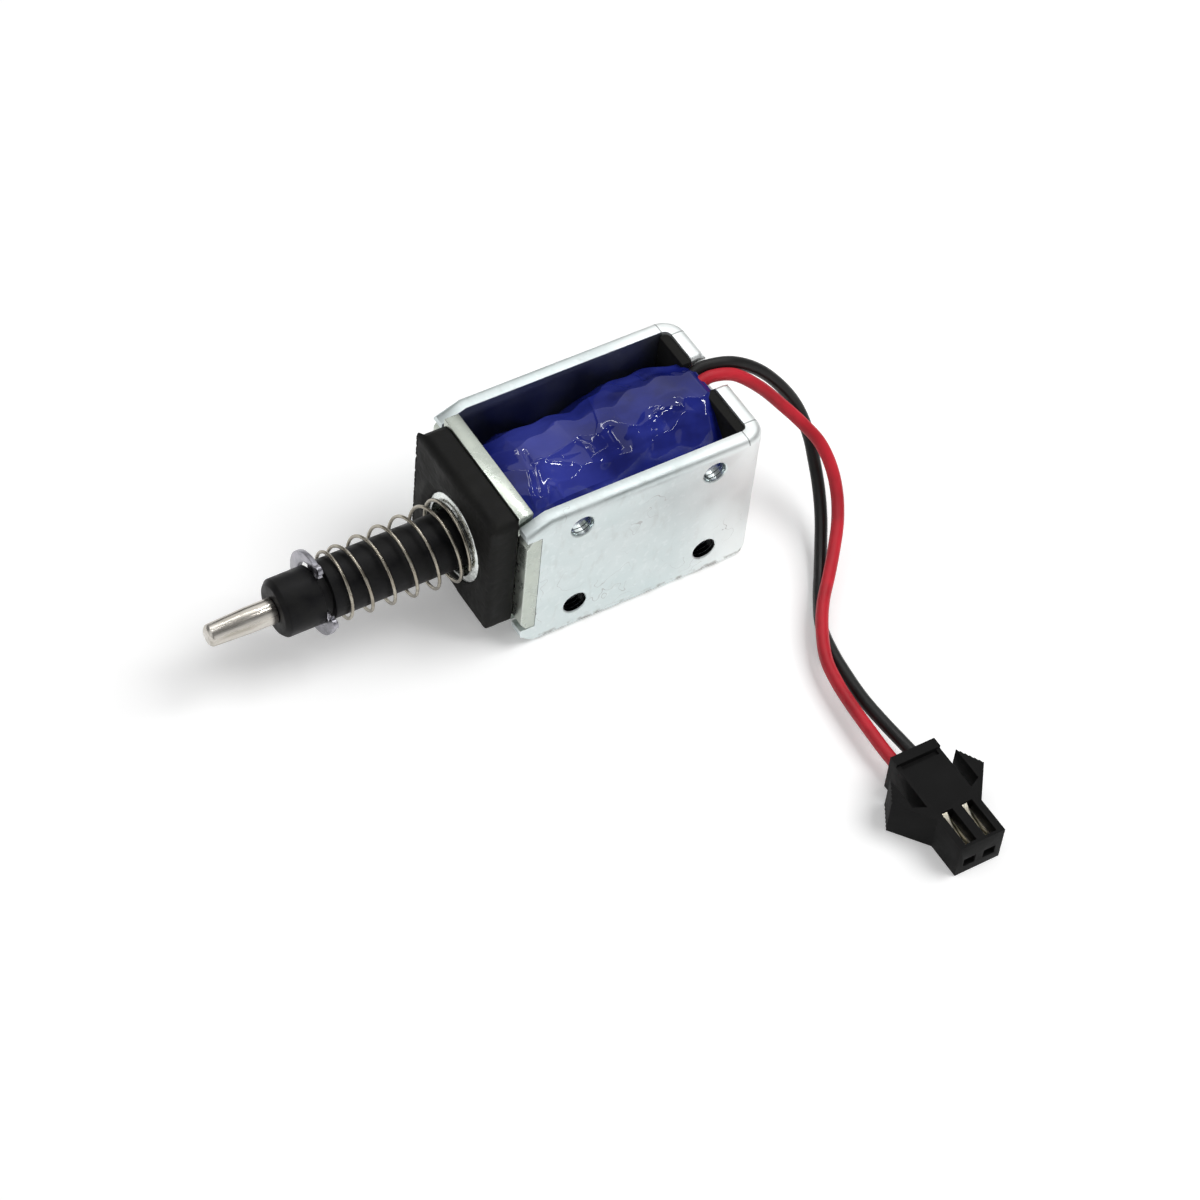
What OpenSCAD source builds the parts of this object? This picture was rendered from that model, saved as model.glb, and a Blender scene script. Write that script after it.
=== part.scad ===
// Push pull solenoid: bent steel frame, wrapped coil, sprung plunger with a push pin, two leads
// with a plug. +X is the way the plunger moves when the coil is energised, +Z is up through
// the open side of the frame, and the two side walls stand at -Y and +Y.

/* [Frame] */
// Outer width of the frame across its two side walls
frame_w = 20; // [18.8:0.1:22]
// Height of the frame
frame_h = 19.2; // [18.8:0.1:20.4]
// Thickness of the bent sheet
sheet = 1.8; // [1.4:0.1:2]
// Clear length from the front plate to the rear wall
coil_bay = 26.5; // [24:0.5:32]
// Outer radius of the two bends at the rear
bend_r = 2.6; // [2.2:0.1:3.2]
// Radius of the lower front corner of each side wall
foot_r = 2.6; // [1:0.1:4]
// Length of the slope cut on the upper front corner of each side wall
slope_len = 2.9; // [1:0.1:4]
// Depth of that slope below the frame's top edge
slope_drop = 1.2; // [0.5:0.1:1.5]

/* [Front plate] */
// Thickness of the front plate
plate_t = 1.8; // [1.2:0.1:2.4]
// Height of the lower edge of the plate's two tabs
tab_low = 2.8; // [2:0.1:4]
// Height of the upper edge of the plate's two tabs
tab_high = 17.2; // [15:0.1:17.2]
// Depth of the cut on the front corners of the tabs
tab_cut = 0.7; // [0.2:0.1:0.9]
// Gap between the plate and the side walls above and below the tabs
plate_gap = 0.25; // [0.1:0.05:0.4]

/* [Mounting holes] */
// Hole spacing along the frame
mount_dx = 16.5; // [14:0.5:18]
// Height of the lower pair of holes
mount_low = 3.9; // [3:0.1:4.4]
// Distance from the frame's top edge down to the upper pair of holes
mount_drop = 2.8; // [2.4:0.1:3.6]
// Diameter of a tapped hole at the thread crests
mount_d = 2.5; // [2:0.1:2.6]
// Depth of the countersink at each hole's mouth
mount_sink = 0.3; // [0.1:0.1:0.5]

/* [Wire notch] */
// Width of the notch in the rear wall
notch_w = 4.5; // [3.8:0.1:5]
// Depth of the notch below the top edge
notch_d = 3; // [2.4:0.1:4]
// Offset of the notch from the middle of the rear wall
notch_y = 0.95; // [0.6:0.05:1.1]
// Radius of the notch's bottom corners
notch_r = 1; // [0.5:0.1:1.6]

/* [Plunger] */
// Diameter of the plunger
plunger_d = 6.6; // [6:0.1:7]
// Length of plunger in front of the front plate at rest
plunger_out = 24.6; // [22:0.2:28]
// Chamfer round the plunger's front face
plunger_chamfer = 0.5; // [0.2:0.1:0.8]
// Travel from rest until the plunger seats in the core
stroke = 10; // [4:0.5:12]
// Length of the cone at the plunger's inner end
cone_len = 3; // [2:0.1:4]
// Diameter of the flat at the cone's end
cone_flat = 2; // [1.4:0.1:3]

/* [Push pin] */
// Diameter of the push pin
pin_d = 2.9; // [2.7:0.1:3.4]
// Length of pin in front of the plunger
pin_out = 7.8; // [5:0.2:12]
// Diameter of the pin's tip
pin_tip_d = 2.5; // [1.8:0.1:2.6]
// Length of the taper behind the tip
pin_taper = 4.8; // [2:0.2:4.8]
// Chamfer at the pin's tip
pin_chamfer = 0.3; // [0.1:0.05:0.5]
// Diameter of the pin's shank inside the plunger
shank_d = 2; // [1.6:0.1:2.4]
// Depth of the shank's seat in the plunger
pin_seat = 5; // [3:0.5:8]

/* [E-clip] */
// Distance from the plunger's front face to the clip's groove
groove_at = 4.7; // [3.5:0.1:6]
// Diameter at the bottom of the groove
groove_d = 5.1; // [4.4:0.1:5.4]
// Width of the groove
groove_w = 1.1; // [0.9:0.1:1.6]
// Thickness of the clip
clip_t = 0.6; // [0.4:0.05:0.8]
// Outer diameter of the clip
clip_d = 9.6; // [9:0.1:11]
// Shift of the clip's rim away from its mouth
clip_shift = 0.5; // [0:0.1:0.6]
// Distance from the axis to the ends of the clip's arms
clip_reach = 2.9; // [2.2:0.1:3.2]
// Direction of the clip's mouth, turned from +Y towards +Z
clip_turn = 143; // [0:1:359]

/* [Return spring] */
// Wire diameter of the spring
spring_wire = 0.4; // [0.3:0.05:0.5]
// Mean radius of the spring at its front end
spring_front_r = 3.8; // [3.7:0.05:4]
// Mean radius of the spring at its seat
spring_seat_r = 4.6; // [4.5:0.05:4.7]
// Free length of the spring
spring_len = 14.45; // [12:0.05:15]
// Pitch of the working coils
spring_pitch = 2.6; // [2.3:0.05:2.7]

/* [Rubber pad] */
// Thickness of the pad
pad_t = 3.2; // [2.4:0.1:4]
// Width of the pad
pad_w = 16.4; // [15:0.1:18]
// Height of the pad's lower edge
pad_low = 3.4; // [2.6:0.1:4]
// Distance from the frame's top edge down to the pad
pad_drop = 0.3; // [0:0.1:1]
// Corner radius of the pad
pad_r = 0.5; // [0.3:0.1:2]

/* [Spring seat] */
// Bore of the flanged seat
seat_bore = 8.6; // [8.4:0.1:8.8]
// Outer diameter of the seat's flange
seat_flange_d = 10.4; // [9.9:0.1:11]
// Depth of the flange's cone
seat_cone = 0.4; // [0.2:0.1:0.6]
// Height of the seat's lip above the pad
seat_lip = 0.05; // [0:0.05:0.3]
// Diameter of the hollow that the seat presses into the pad
hollow_d = 12.8; // [12:0.1:14]
// Sheet thickness of the seat
seat_t = 0.3; // [0.2:0.05:0.4]

/* [Coil] */
// Wall of the brass guide tube
tube_wall = 0.3; // [0.2:0.05:0.5]
// Wall of the bobbin's barrel
barrel_wall = 0.8; // [0.6:0.1:1.2]
// Thickness of the bobbin's flanges
flange_t = 1.2; // [0.8:0.1:1.6]
// Gap from the bobbin's flange to the side walls
flange_gap = 0.2; // [0.1:0.05:0.4]
// Depth of the rear flange below the frame's top edge
flange_drop = 0.3; // [0.2:0.1:1.4]
// Gap from the wrapped coil to the side walls
coil_gap = 0.1; // [0.1:0.05:0.6]
// Thickness of the wrapped tape
tape_t = 0.4; // [0.2:0.05:0.5]
// Bore through the tape folded over the front flange
tape_eye = 10; // [9:0.5:12]
// Diameter of each sleeved lead joint
joint_d = 1.5; // [1.2:0.1:1.6]
// Length of each sleeved lead joint
joint_len = 9; // [6:0.5:12]

/* [Fixed core] */
// Length of the core inside the coil
core_len = 9; // [7:0.5:12]
// Diameter of the spigot staked through the rear wall
spigot_d = 4; // [3:0.1:5]
// Diameter of the staked head
stake_d = 5.2; // [5.1:0.1:6]
// Height of the staked head
stake_h = 0.4; // [0.2:0.1:0.8]
// Thickness of the disc that keeps the plunger from sticking
shim_t = 0.2; // [0.1:0.05:0.3]

/* [Plug housing] */
// Distance between the two ways
way_pitch = 2.5; // [2.5:0.05:2.7]
// Width of the housing between its latch arms
plug_w = 5.6; // [5.4:0.1:6.4]
// Height of the housing
plug_h = 4.6; // [4.4:0.1:5.4]
// Length of the housing
plug_len = 13.2; // [12.6:0.2:15]
// Height of the way's middle above the housing's underside
way_z = 2.2; // [2.1:0.1:2.6]
// Size of the square way through the housing
way = 1.7; // [1.6:0.05:1.8]
// Gap between a latch arm and the housing
arm_gap = 1.4; // [0.8:0.1:1.6]
// Reach of a latch arm out from the housing's side
arm_reach = 3.1; // [2.4:0.1:3.4]
// Rise of the grip bar above the housing
bar_rise = 0.4; // [0.2:0.1:0.6]

/* [Leads] */
// Outer diameter of each lead
lead_d = 1.45; // [1.2:0.05:1.5]

/* [Hidden] */
$fn = 64;
// Radial play of the plunger in its tube, and of parts pressed or laid together
slide_gap = 0.05;
fit_gap = 0.02;
eps = 0.01;

// Stations along the axis, from the pin's tip to the staked head
total_len = pin_out + plunger_out + plate_t + coil_bay + sheet + stake_h;
tip_x = -total_len / 2;
face_x = tip_x + pin_out;
plate_x = face_x + plunger_out;
bay_x = plate_x + plate_t;
wall_x = bay_x + coil_bay;
back_x = wall_x + sheet;
axis_z = frame_h / 2;
inner_w = frame_w - 2 * sheet;
pad_x = plate_x - pad_t;
seat_x = pad_x - seat_lip;
groove_x = face_x + groove_at;

// Radii inside the coil, from the plunger outwards
plunger_r = plunger_d / 2;
tube_r = plunger_r + slide_gap;
tube_out_r = tube_r + tube_wall;
barrel_r = tube_out_r + fit_gap;
barrel_out_r = barrel_r + barrel_wall;
tape_out_r = inner_w / 2 - coil_gap;
tape_r = tape_out_r - tape_t;
winding_r = tape_r - fit_gap;
core_x = wall_x - core_len;
flange_x = wall_x - flange_t;
front_flange_x = bay_x + tape_t;

// The lead joints lie on the winding, side by side, just in front of the rear flange
joint_r = joint_d / 2;
joint_orbit = winding_r + joint_r + fit_gap;
joint_gap = 0.3;
joint_x = flange_x - joint_gap - joint_len;
joint_turns = [4.8, 15.8];

// Plug position: the middle of its rear face on the ground, nose towards -Y
plug_x = 28.6;
plug_y = -44.1;
arm_front = 4.3;
arm_tip = 8.3;
arm_end = 11.1;
bar_len = 1.2;
bar_groove = 0.6;
nose_wall = 0.9;
mouth_w = 1.5;
mouth_h = 0.8;
mouth_drop = 0.3;
window_wall = 0.4;
window_w = 1.4;
window_len = 4.5;
teeth = 6;
tooth = 0.2;
box_len = 7.4;
terminal_sheet = 0.2;
terminal_gap = 0.05;

// Middle line of each lead, from its joint in the coil to its terminal
black_route = [[27.8, 2.3, 17.73], [28.6, 2.3, 17.82], [30.3, 2.3, 18.4], [33.3, 1.6, 18.3],
    [36.3, 0.7, 16.7], [38.7, -0.6, 14.3], [40.4, -2.2, 11.5], [41, -4.3, 8.7],
    [40.8, -6.4, 6.2], [40.1, -8.8, 4.3], [38.9, -11.4, 2.8], [37.3, -14, 1.8],
    [35.4, -16.9, 1.1], [33.3, -20, 0.8], [31.4, -23.4, 0.8], [30.4, -27, 1], [29.8, -30.8, 1.3],
    [29.4, -34.4, 1.7], [29.4, -38, 2], [29.6, -41.4, 2.2], [29.85, -44.2, 2.2],
    [29.85, -46.4, 2.2]];
red_route = [[27.8, 0.71, 18.02], [28.6, 0.71, 18.08], [30.4, 0.7, 18.4], [33, 0.1, 17.9], [35.6, -1.3, 16],
    [37.7, -2.9, 13.7], [39.5, -4.8, 11.6], [40.8, -6.8, 9.7], [41.1, -9.1, 7.7],
    [40.5, -11.5, 6], [39.2, -13.9, 4.6], [37.3, -16.3, 3.6], [35.1, -18.8, 2.9],
    [32.6, -21.5, 2.5], [30.5, -24.5, 2.3], [28.8, -27.9, 2], [28, -31.3, 2],
    [27.6, -34.8, 2.1], [27.4, -38.2, 2.2], [27.3, -41.4, 2.2], [27.35, -44.2, 2.2],
    [27.35, -46.4, 2.2]];
// Where the leads end, in the plug's own frame
lead_end = red_route[len(red_route) - 1][1] - plug_y;

// ---- shared forms ----

// Catmull-Rom curve through the points, with so many steps to a span
function curve(p, steps) = [for (i = [0 : len(p) - 2], s = [0 : steps - 1])
        let (a = p[max(i - 1, 0)], b = p[i], c = p[i + 1], d = p[min(i + 2, len(p) - 1)],
            t = s / steps)
        0.5 * (2 * b + (c - a) * t + (2 * a - 5 * b + 4 * c - d) * t * t
            + (3 * b - a - 3 * c + d) * t * t * t), p[len(p) - 1]];
function unit(v) = v / norm(v);
function tangents(p) = [for (i = [0 : len(p) - 1])
        unit(p[min(i + 1, len(p) - 1)] - p[max(i - 1, 0)])];
// Side vectors carried along the path without twist
function sides_of(t) = [for (i = 0, n = unit(cross(t[0], [0, 0, 1])); i < len(t);
        i = i + 1, n = i < len(t) ? unit(n - t[i] * (n * t[i])) : n) n];

// Round tube swept along a path of points
module sweep_tube(path, r, sides) {
    t = tangents(path);
    n = sides_of(t);
    count = len(path);
    points = [for (i = [0 : count - 1], k = [0 : sides - 1])
            path[i] + r * (cos(k * 360 / sides) * n[i]
                + sin(k * 360 / sides) * cross(t[i], n[i]))];
    walls = [for (i = [0 : count - 2], k = [0 : sides - 1])
            let (a = i * sides + k, b = i * sides + (k + 1) % sides)
            [a, a + sides, b + sides, b]];
    caps = [[for (k = [0 : sides - 1]) k],
        [for (k = [sides - 1 : -1 : 0]) (count - 1) * sides + k]];
    polyhedron(points, concat(walls, caps), convexity = 10);
}

// Cylinder and ring along X, starting at x, about the plunger's axis
module rod_x(x, length, r) {
    translate([x, 0, axis_z]) rotate([0, 90, 0]) cylinder(h = length, r = r);
}
module ring_x(x, length, r_in, r_out) {
    difference() {
        rod_x(x, length, r_out);
        rod_x(x - 1, length + 2, r_in);
    }
}
// Solid of revolution about the plunger's axis; profile points are [radius, x]
module turned_x(profile) {
    translate([0, 0, axis_z]) rotate([0, 90, 0]) rotate_extrude() polygon(profile);
}
// Outline in Y and Z, extruded along X from x
module slab_x(x, length) {
    translate([x, 0, 0]) rotate([90, 0, 90]) linear_extrude(length) children();
}
// Rectangle with round corners, from its lower left corner
module rounded_rect(w, h, r) {
    translate([r, 0]) square([w - 2 * r, h]);
    translate([0, r]) square([w, h - 2 * r]);
    for (x = [r, w - r], y = [r, h - r]) translate([x, y]) circle(r);
}
// What a quarter round of radius r removes from a corner that lies at the origin
module corner_cut(r) {
    difference() {
        translate([-1, -1]) square([r + 1, r + 1]);
        translate([r, r]) circle(r);
    }
}

// ---- frame and front plate ----

// Plan of a strip end with two round rear corners
module strip_plan(x0, x1, w, r) {
    translate([x0, -w / 2]) square([x1 - r - x0, w]);
    translate([x0, r - w / 2]) square([x1 - x0, w - 2 * r]);
    for (s = [-1, 1]) translate([x1 - r, s * (w / 2 - r)]) circle(r);
}

module wire_notch() {
    bottom = frame_h - notch_d;
    lip = 0.6;
    slab_x(wall_x - 1, sheet + 2) translate([notch_y, 0]) {
        translate([-notch_w / 2, bottom]) rounded_rect(notch_w, 2 * notch_d, notch_r);
        // the punch rounds the two upper edges
        for (s = [-1, 1]) translate([s * notch_w / 2, frame_h]) difference() {
            translate([-lip, -lip]) square([2 * lip, lip + 1]);
            translate([s * lip, -lip]) circle(lip);
        }
    }
}

module mount_holes() {
    mid_x = (plate_x + back_x) / 2;
    for (sx = [-1, 1], z = [mount_low, frame_h - mount_drop])
        translate([mid_x + sx * mount_dx / 2, -frame_w / 2, z])
            rotate([-90, 0, 0]) {
                translate([0, 0, -1]) cylinder(h = sheet + 2, d = mount_d);
                translate([0, 0, -eps])
                    cylinder(h = mount_sink + eps, d1 = mount_d + 2 * mount_sink, d2 = mount_d);
            }
}

module frame() {
    color("#c3ccce") difference() {
        linear_extrude(frame_h) difference() {
            strip_plan(plate_x, back_x, frame_w, bend_r);
            strip_plan(plate_x - 1, wall_x, inner_w, bend_r - sheet);
        }
        wire_notch();
        mount_holes();
        rod_x(wall_x - 1, sheet + 2, spigot_d / 2 + fit_gap);
        // slots in the front edges that hold the plate's tabs
        translate([plate_x - 1, -frame_w, tab_low])
            cube([plate_t + 1 + fit_gap, 2 * frame_w, tab_high - tab_low]);
        // lower front corners rounded, upper ones cut to a slope
        translate([plate_x, frame_w, 0]) rotate([90, 0, 0])
            linear_extrude(2 * frame_w) corner_cut(foot_r);
        translate([plate_x, frame_w, frame_h]) rotate([90, 0, 0])
            linear_extrude(2 * frame_w)
                polygon([[-slope_len, slope_drop], [-slope_len, -2 * slope_drop],
                    [2 * slope_len, slope_drop]]);
    }
}

module front_plate() {
    body_w = inner_w - 2 * plate_gap;
    low = tab_low + 2 * fit_gap;
    high = tab_high - 2 * fit_gap;
    rise = 1.5 * tab_cut;
    color("#cdd0bd") difference() {
        union() {
            slab_x(plate_x, plate_t) translate([-body_w / 2, 0]) square([body_w, frame_h]);
            // both tabs, with their front corners cut back where they are staked
            translate([plate_x, frame_w / 2, 0]) rotate([90, 0, 0]) linear_extrude(frame_w)
                polygon([[tab_cut, low], [plate_t, low], [plate_t, high], [tab_cut, high],
                    [0, high - rise], [0, low + rise]]);
        }
        rod_x(plate_x - 1, plate_t + 2, tube_out_r + fit_gap);
    }
}

// ---- pad, spring seat and spring ----

module rubber_pad() {
    recess_r = seat_flange_d / 2 + fit_gap;
    recess_end = seat_x + seat_cone + seat_t + fit_gap;
    color("#141415") difference() {
        slab_x(pad_x, pad_t) translate([-pad_w / 2, pad_low])
            rounded_rect(pad_w, frame_h - pad_drop - pad_low, pad_r);
        rod_x(pad_x - 1, pad_t + 2, seat_bore / 2 + seat_t + fit_gap);
        // recess for the seat's flange, with a shallow hollow round it
        turned_x([[0, pad_x - 1], [hollow_d / 2, pad_x - 1], [hollow_d / 2, pad_x],
            [recess_r, seat_x + seat_cone], [recess_r, recess_end], [0, recess_end]]);
    }
}

module spring_seat() {
    bore_r = seat_bore / 2;
    tube_r = bore_r + seat_t;
    flange_r = seat_flange_d / 2;
    shoulder = seat_cone * seat_t / (flange_r - bore_r);
    color("#c9ccc8") turned_x([[bore_r, plate_x], [bore_r, seat_x], [flange_r, seat_x + seat_cone],
        [flange_r, seat_x + seat_cone + seat_t], [tube_r, seat_x + seat_t + shoulder],
        [tube_r, plate_x]]);
}

// Compression spring: a closed coil at each end and open coils between, widening to its seat
module return_spring() {
    seat_turns = 0.84;
    front_turns = 0.75;
    run = spring_len - spring_wire;
    seat_rise = 1.45 * spring_wire;
    front_rise = 0.85 * spring_wire;
    turns = seat_turns + (run - seat_rise - front_rise) / spring_pitch + front_turns;
    steps = 18;
    count = ceil(turns * steps);
    function rise(n) = n < seat_turns ? n * seat_rise / seat_turns
        : n > turns - front_turns ? run - (turns - n) * front_rise / front_turns
        : seat_rise + (n - seat_turns) * spring_pitch;
    path = [for (i = [0 : count])
            let (n = turns * i / count, back = rise(n),
                r = spring_seat_r + (spring_front_r - spring_seat_r) * back / run)
            [seat_x - spring_wire / 2 - back, r * cos(183 - 360 * n),
                axis_z + r * sin(183 - 360 * n)]];
    color("#8d8a78") sweep_tube(path, spring_wire / 2, 8);
}

// ---- plunger group ----

module plunger() {
    r = plunger_r;
    c = plunger_chamfer;
    groove_end = groove_x + groove_w;
    cone_x = core_x - shim_t - stroke;
    color("#1a1a1b") difference() {
        turned_x([[0, face_x], [r - c, face_x], [r, face_x + c], [r, groove_x],
            [groove_d / 2, groove_x], [groove_d / 2, groove_end], [r, groove_end],
            [r, cone_x], [cone_flat / 2, cone_x + cone_len], [0, cone_x + cone_len]]);
        rod_x(face_x - 1, pin_seat + 1, shank_d / 2 + fit_gap);
    }
}

module push_pin() {
    r = pin_d / 2;
    tip_r = pin_tip_d / 2;
    shank_r = shank_d / 2;
    seat_end = face_x + pin_seat - fit_gap;
    color("#8f8a80") turned_x([[0, tip_x], [tip_r - pin_chamfer, tip_x],
        [tip_r, tip_x + pin_chamfer], [r, tip_x + pin_taper], [r, face_x - fit_gap],
        [shank_r, face_x - fit_gap], [shank_r, seat_end], [0, seat_end]]);
}

// E-clip outline: mouth towards +X of the sketch, three prongs that reach the groove
module clip_outline() {
    prong_r = groove_d / 2 + fit_gap;
    window_r = plunger_r + 0.3;
    arm_w = 1.15;
    end_turn = acos(clip_reach / (window_r + arm_w / 2));
    difference() {
        union() {
            difference() {
                translate([-clip_shift, 0]) circle(clip_d / 2);
                circle(window_r);
                translate([clip_reach, -clip_d]) square([clip_d, 2 * clip_d]);
            }
            for (s = [-1, 1]) rotate(s * end_turn)
                translate([window_r + arm_w / 2, 0]) circle(arm_w / 2);
            for (turn = [-64, 64, 180]) rotate(turn) translate([0, -0.8])
                square([window_r + 0.3, 1.6]);
        }
        circle(prong_r);
    }
}

module e_clip() {
    color("#77797b") translate([groove_x + fit_gap, 0, axis_z]) rotate([90, 0, 90])
        linear_extrude(clip_t) rotate(clip_turn) clip_outline();
}

// ---- inside the coil ----

module guide_tube() {
    color("#b89a56") ring_x(plate_x, wall_x - plate_x, tube_r, tube_out_r);
}

module fixed_core() {
    r = tube_r - fit_gap;
    cone_mouth = plunger_r;
    color("#8b8d8f") turned_x([[0, core_x + cone_len], [cone_flat / 2, core_x + cone_len],
        [cone_mouth, core_x], [r, core_x], [r, wall_x], [spigot_d / 2, wall_x],
        [spigot_d / 2, back_x], [stake_d / 2, back_x], [stake_d / 2 - 0.3, back_x + stake_h],
        [0, back_x + stake_h]]);
}

// Thin cone-shaped disc of bronze on the core's seat
module core_shim() {
    flat_r = cone_flat / 2;
    slope = (plunger_r - flat_r) / cone_len;
    wide = 0.8;
    color("#b08d57") turned_x([[flat_r, core_x + cone_len - fit_gap],
        [flat_r + slope * cone_len * wide, core_x + cone_len * (1 - wide) - fit_gap],
        [flat_r + slope * cone_len * wide, core_x + cone_len * (1 - wide) - shim_t + fit_gap],
        [flat_r, core_x + cone_len - shim_t + fit_gap]]);
}

module bobbin() {
    flange_w = inner_w - 2 * flange_gap;
    flange_low = flange_gap;
    flange_high = frame_h - flange_drop;
    color("#18181a") difference() {
        union() {
            ring_x(front_flange_x, wall_x - front_flange_x, barrel_r, barrel_out_r);
            ring_x(front_flange_x, flange_t, barrel_r, winding_r);
            // rear flange, rounded like the inside of the frame's bends
            translate([0, 0, flange_low]) linear_extrude(flange_high - flange_low)
                intersection() {
                    strip_plan(flange_x - 2, wall_x, flange_w, bend_r - sheet);
                    translate([flange_x, -frame_w]) square([flange_t, 2 * frame_w]);
                }
        }
        rod_x(flange_x - 1, flange_t + 2, barrel_r);
        // slot that lets the two leads out over the rear wall
        translate([flange_x - 1, notch_y - notch_w / 2, frame_h - notch_d])
            cube([flange_t + 2, notch_w, notch_d + 1]);
    }
}

module coil_winding() {
    x = front_flange_x + flange_t + fit_gap;
    color("#b0602e") ring_x(x, flange_x - fit_gap - x, barrel_out_r + fit_gap, winding_r);
}

// Place something beside the winding, at a joint's turn from straight up towards +Y
module at_joint(i) {
    translate([0, joint_orbit * sin(joint_turns[i]), axis_z + joint_orbit * cos(joint_turns[i])])
        children();
}

module lead_joint(i) {
    at_joint(i) translate([joint_x, 0, 0]) rotate([0, 90, 0])
        cylinder(h = joint_len, r = joint_r);
}
module red_lead_joint() {
    color("#2a2a2c") lead_joint(0);
}
module black_lead_joint() {
    color("#2a2a2c") lead_joint(1);
}

// Tape wound round the coil, folded over the front flange and raised over the two joints
module coil_tape() {
    cover_r = joint_r + tape_t;
    lap = 1.5;
    tape_end = flange_x - fit_gap;
    color("#1c1f8c") difference() {
        union() {
            rod_x(bay_x, tape_end - bay_x, tape_out_r);
            for (i = [0, 1]) at_joint(i) translate([joint_x - lap, 0, 0]) rotate([0, 90, 0])
                cylinder(h = tape_end - joint_x + lap, r = cover_r);
        }
        rod_x(front_flange_x - fit_gap, flange_x - front_flange_x + 1, tape_r);
        rod_x(bay_x - 1, 3, tape_eye / 2);
        for (i = [0, 1]) at_joint(i) translate([joint_x - fit_gap, 0, 0]) rotate([0, 90, 0])
            cylinder(h = joint_len + 1, r = joint_r + fit_gap);
    }
}

// ---- leads and plug ----

module red_lead() {
    color("#b01420") sweep_tube(curve(red_route, 3), lead_d / 2, 8);
}
module black_lead() {
    color("#101011") sweep_tube(curve(black_route, 3), lead_d / 2, 8);
}

// The plug's own frame: rear face at y = 0, nose towards -y, underside at z = 0
module at_plug() {
    translate([plug_x, plug_y, 0]) children();
}

// Plan of one latch arm with a toothed grip, on the housing's +X side
module arm_plan() {
    side = plug_w / 2;
    tip = [side + arm_reach, arm_tip - plug_len];
    end = [side + arm_gap, arm_end - plug_len];
    along = (tip - end) / teeth;
    saw = [for (i = [0 : teeth - 1], k = [0, 1]) end + along * (i + k / 2) - [0, k * tooth]];
    polygon(concat([[side - eps, arm_front - plug_len]],
        [[side - eps, arm_front + 1.9 - plug_len], [side + arm_gap, arm_front + 2.6 - plug_len]],
        saw, [tip]));
}

module plug_housing() {
    side = plug_w / 2;
    color("#17171a") at_plug() difference() {
        union() {
            translate([-side, -plug_len, 0]) cube([plug_w, plug_len, plug_h]);
            // grip bar across the rear
            translate([-side, -bar_len, 0]) cube([plug_w, bar_len, plug_h + bar_rise]);
            for (s = [0, 1]) mirror([s, 0, 0]) linear_extrude(plug_h) arm_plan();
        }
        // finger groove in front of the bar
        translate([0.5 - side, -bar_len - bar_groove, plug_h - bar_groove / 2])
            cube([plug_w - 1, bar_groove, plug_h]);
        for (s = [-1, 1]) translate([s * way_pitch / 2, 0, way_z]) {
            // way for the terminal, then a lower mouth in the nose
            translate([-way / 2, nose_wall - plug_len, -way / 2])
                cube([way, plug_len, way]);
            translate([-mouth_w / 2, -plug_len - 1, -mouth_h / 2 - mouth_drop])
                cube([mouth_w, nose_wall + 1 + eps, mouth_h]);
            // window over the terminal's spring
            translate([-window_w / 2, window_wall - plug_len, 0])
                cube([window_w, window_len, plug_h]);
        }
    }
}

// Crimped terminal: a box round the mating pin, and a barrel that grips the lead
module terminal(side) {
    w = way - 2 * terminal_gap;
    top = w / 2;
    wall = terminal_sheet;
    front = nose_wall + terminal_gap - plug_len;
    roof = 4.2;
    roof_len = 1.2;
    bend = 1.3;
    tip = 0.7;
    at_plug() translate([side * way_pitch / 2, front, way_z]) {
        difference() {
            translate([-w / 2, 0, -top]) cube([w, box_len, w]);
            translate([-w / 2 + wall, -1, -top + wall])
                cube([w - 2 * wall, box_len + 2, w - 2 * wall]);
            // the box has a roof only across its middle
            translate([-w / 2 + wall, -1, 0]) cube([w - 2 * wall, roof + 1, w]);
            translate([-w / 2 + wall, roof + roof_len, 0]) cube([w - 2 * wall, box_len, w]);
        }
        // spring finger that slopes down from the roof towards the nose
        rotate([90, 0, 90]) linear_extrude(w - 3 * wall, center = true)
            polygon([[roof + 1.5 * wall, top - eps], [roof - eps, top - eps], [bend, wall],
                [tip, 1.8 * wall], [tip, 0.8 * wall], [bend, 0],
                [roof + 1.5 * wall, top - 1.5 * wall]]);
        // crimp barrel, from the box to the end of the lead
        translate([0, box_len - eps, 0]) rotate([-90, 0, 0])
            cylinder(h = lead_end - terminal_gap - front - box_len + eps, r = top - 0.15);
    }
}
module red_terminal() {
    color("#c8b98a") terminal(-1);
}
module black_terminal() {
    color("#c8b98a") terminal(1);
}

frame();
front_plate();
rubber_pad();
spring_seat();
return_spring();
plunger();
push_pin();
e_clip();
guide_tube();
fixed_core();
core_shim();
bobbin();
coil_winding();
coil_tape();
red_lead_joint();
black_lead_joint();
red_lead();
black_lead();
plug_housing();
red_terminal();
black_terminal();
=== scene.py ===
import math

import bmesh
import bpy
import numpy as np
from mathutils import Matrix, Vector, noise


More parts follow.
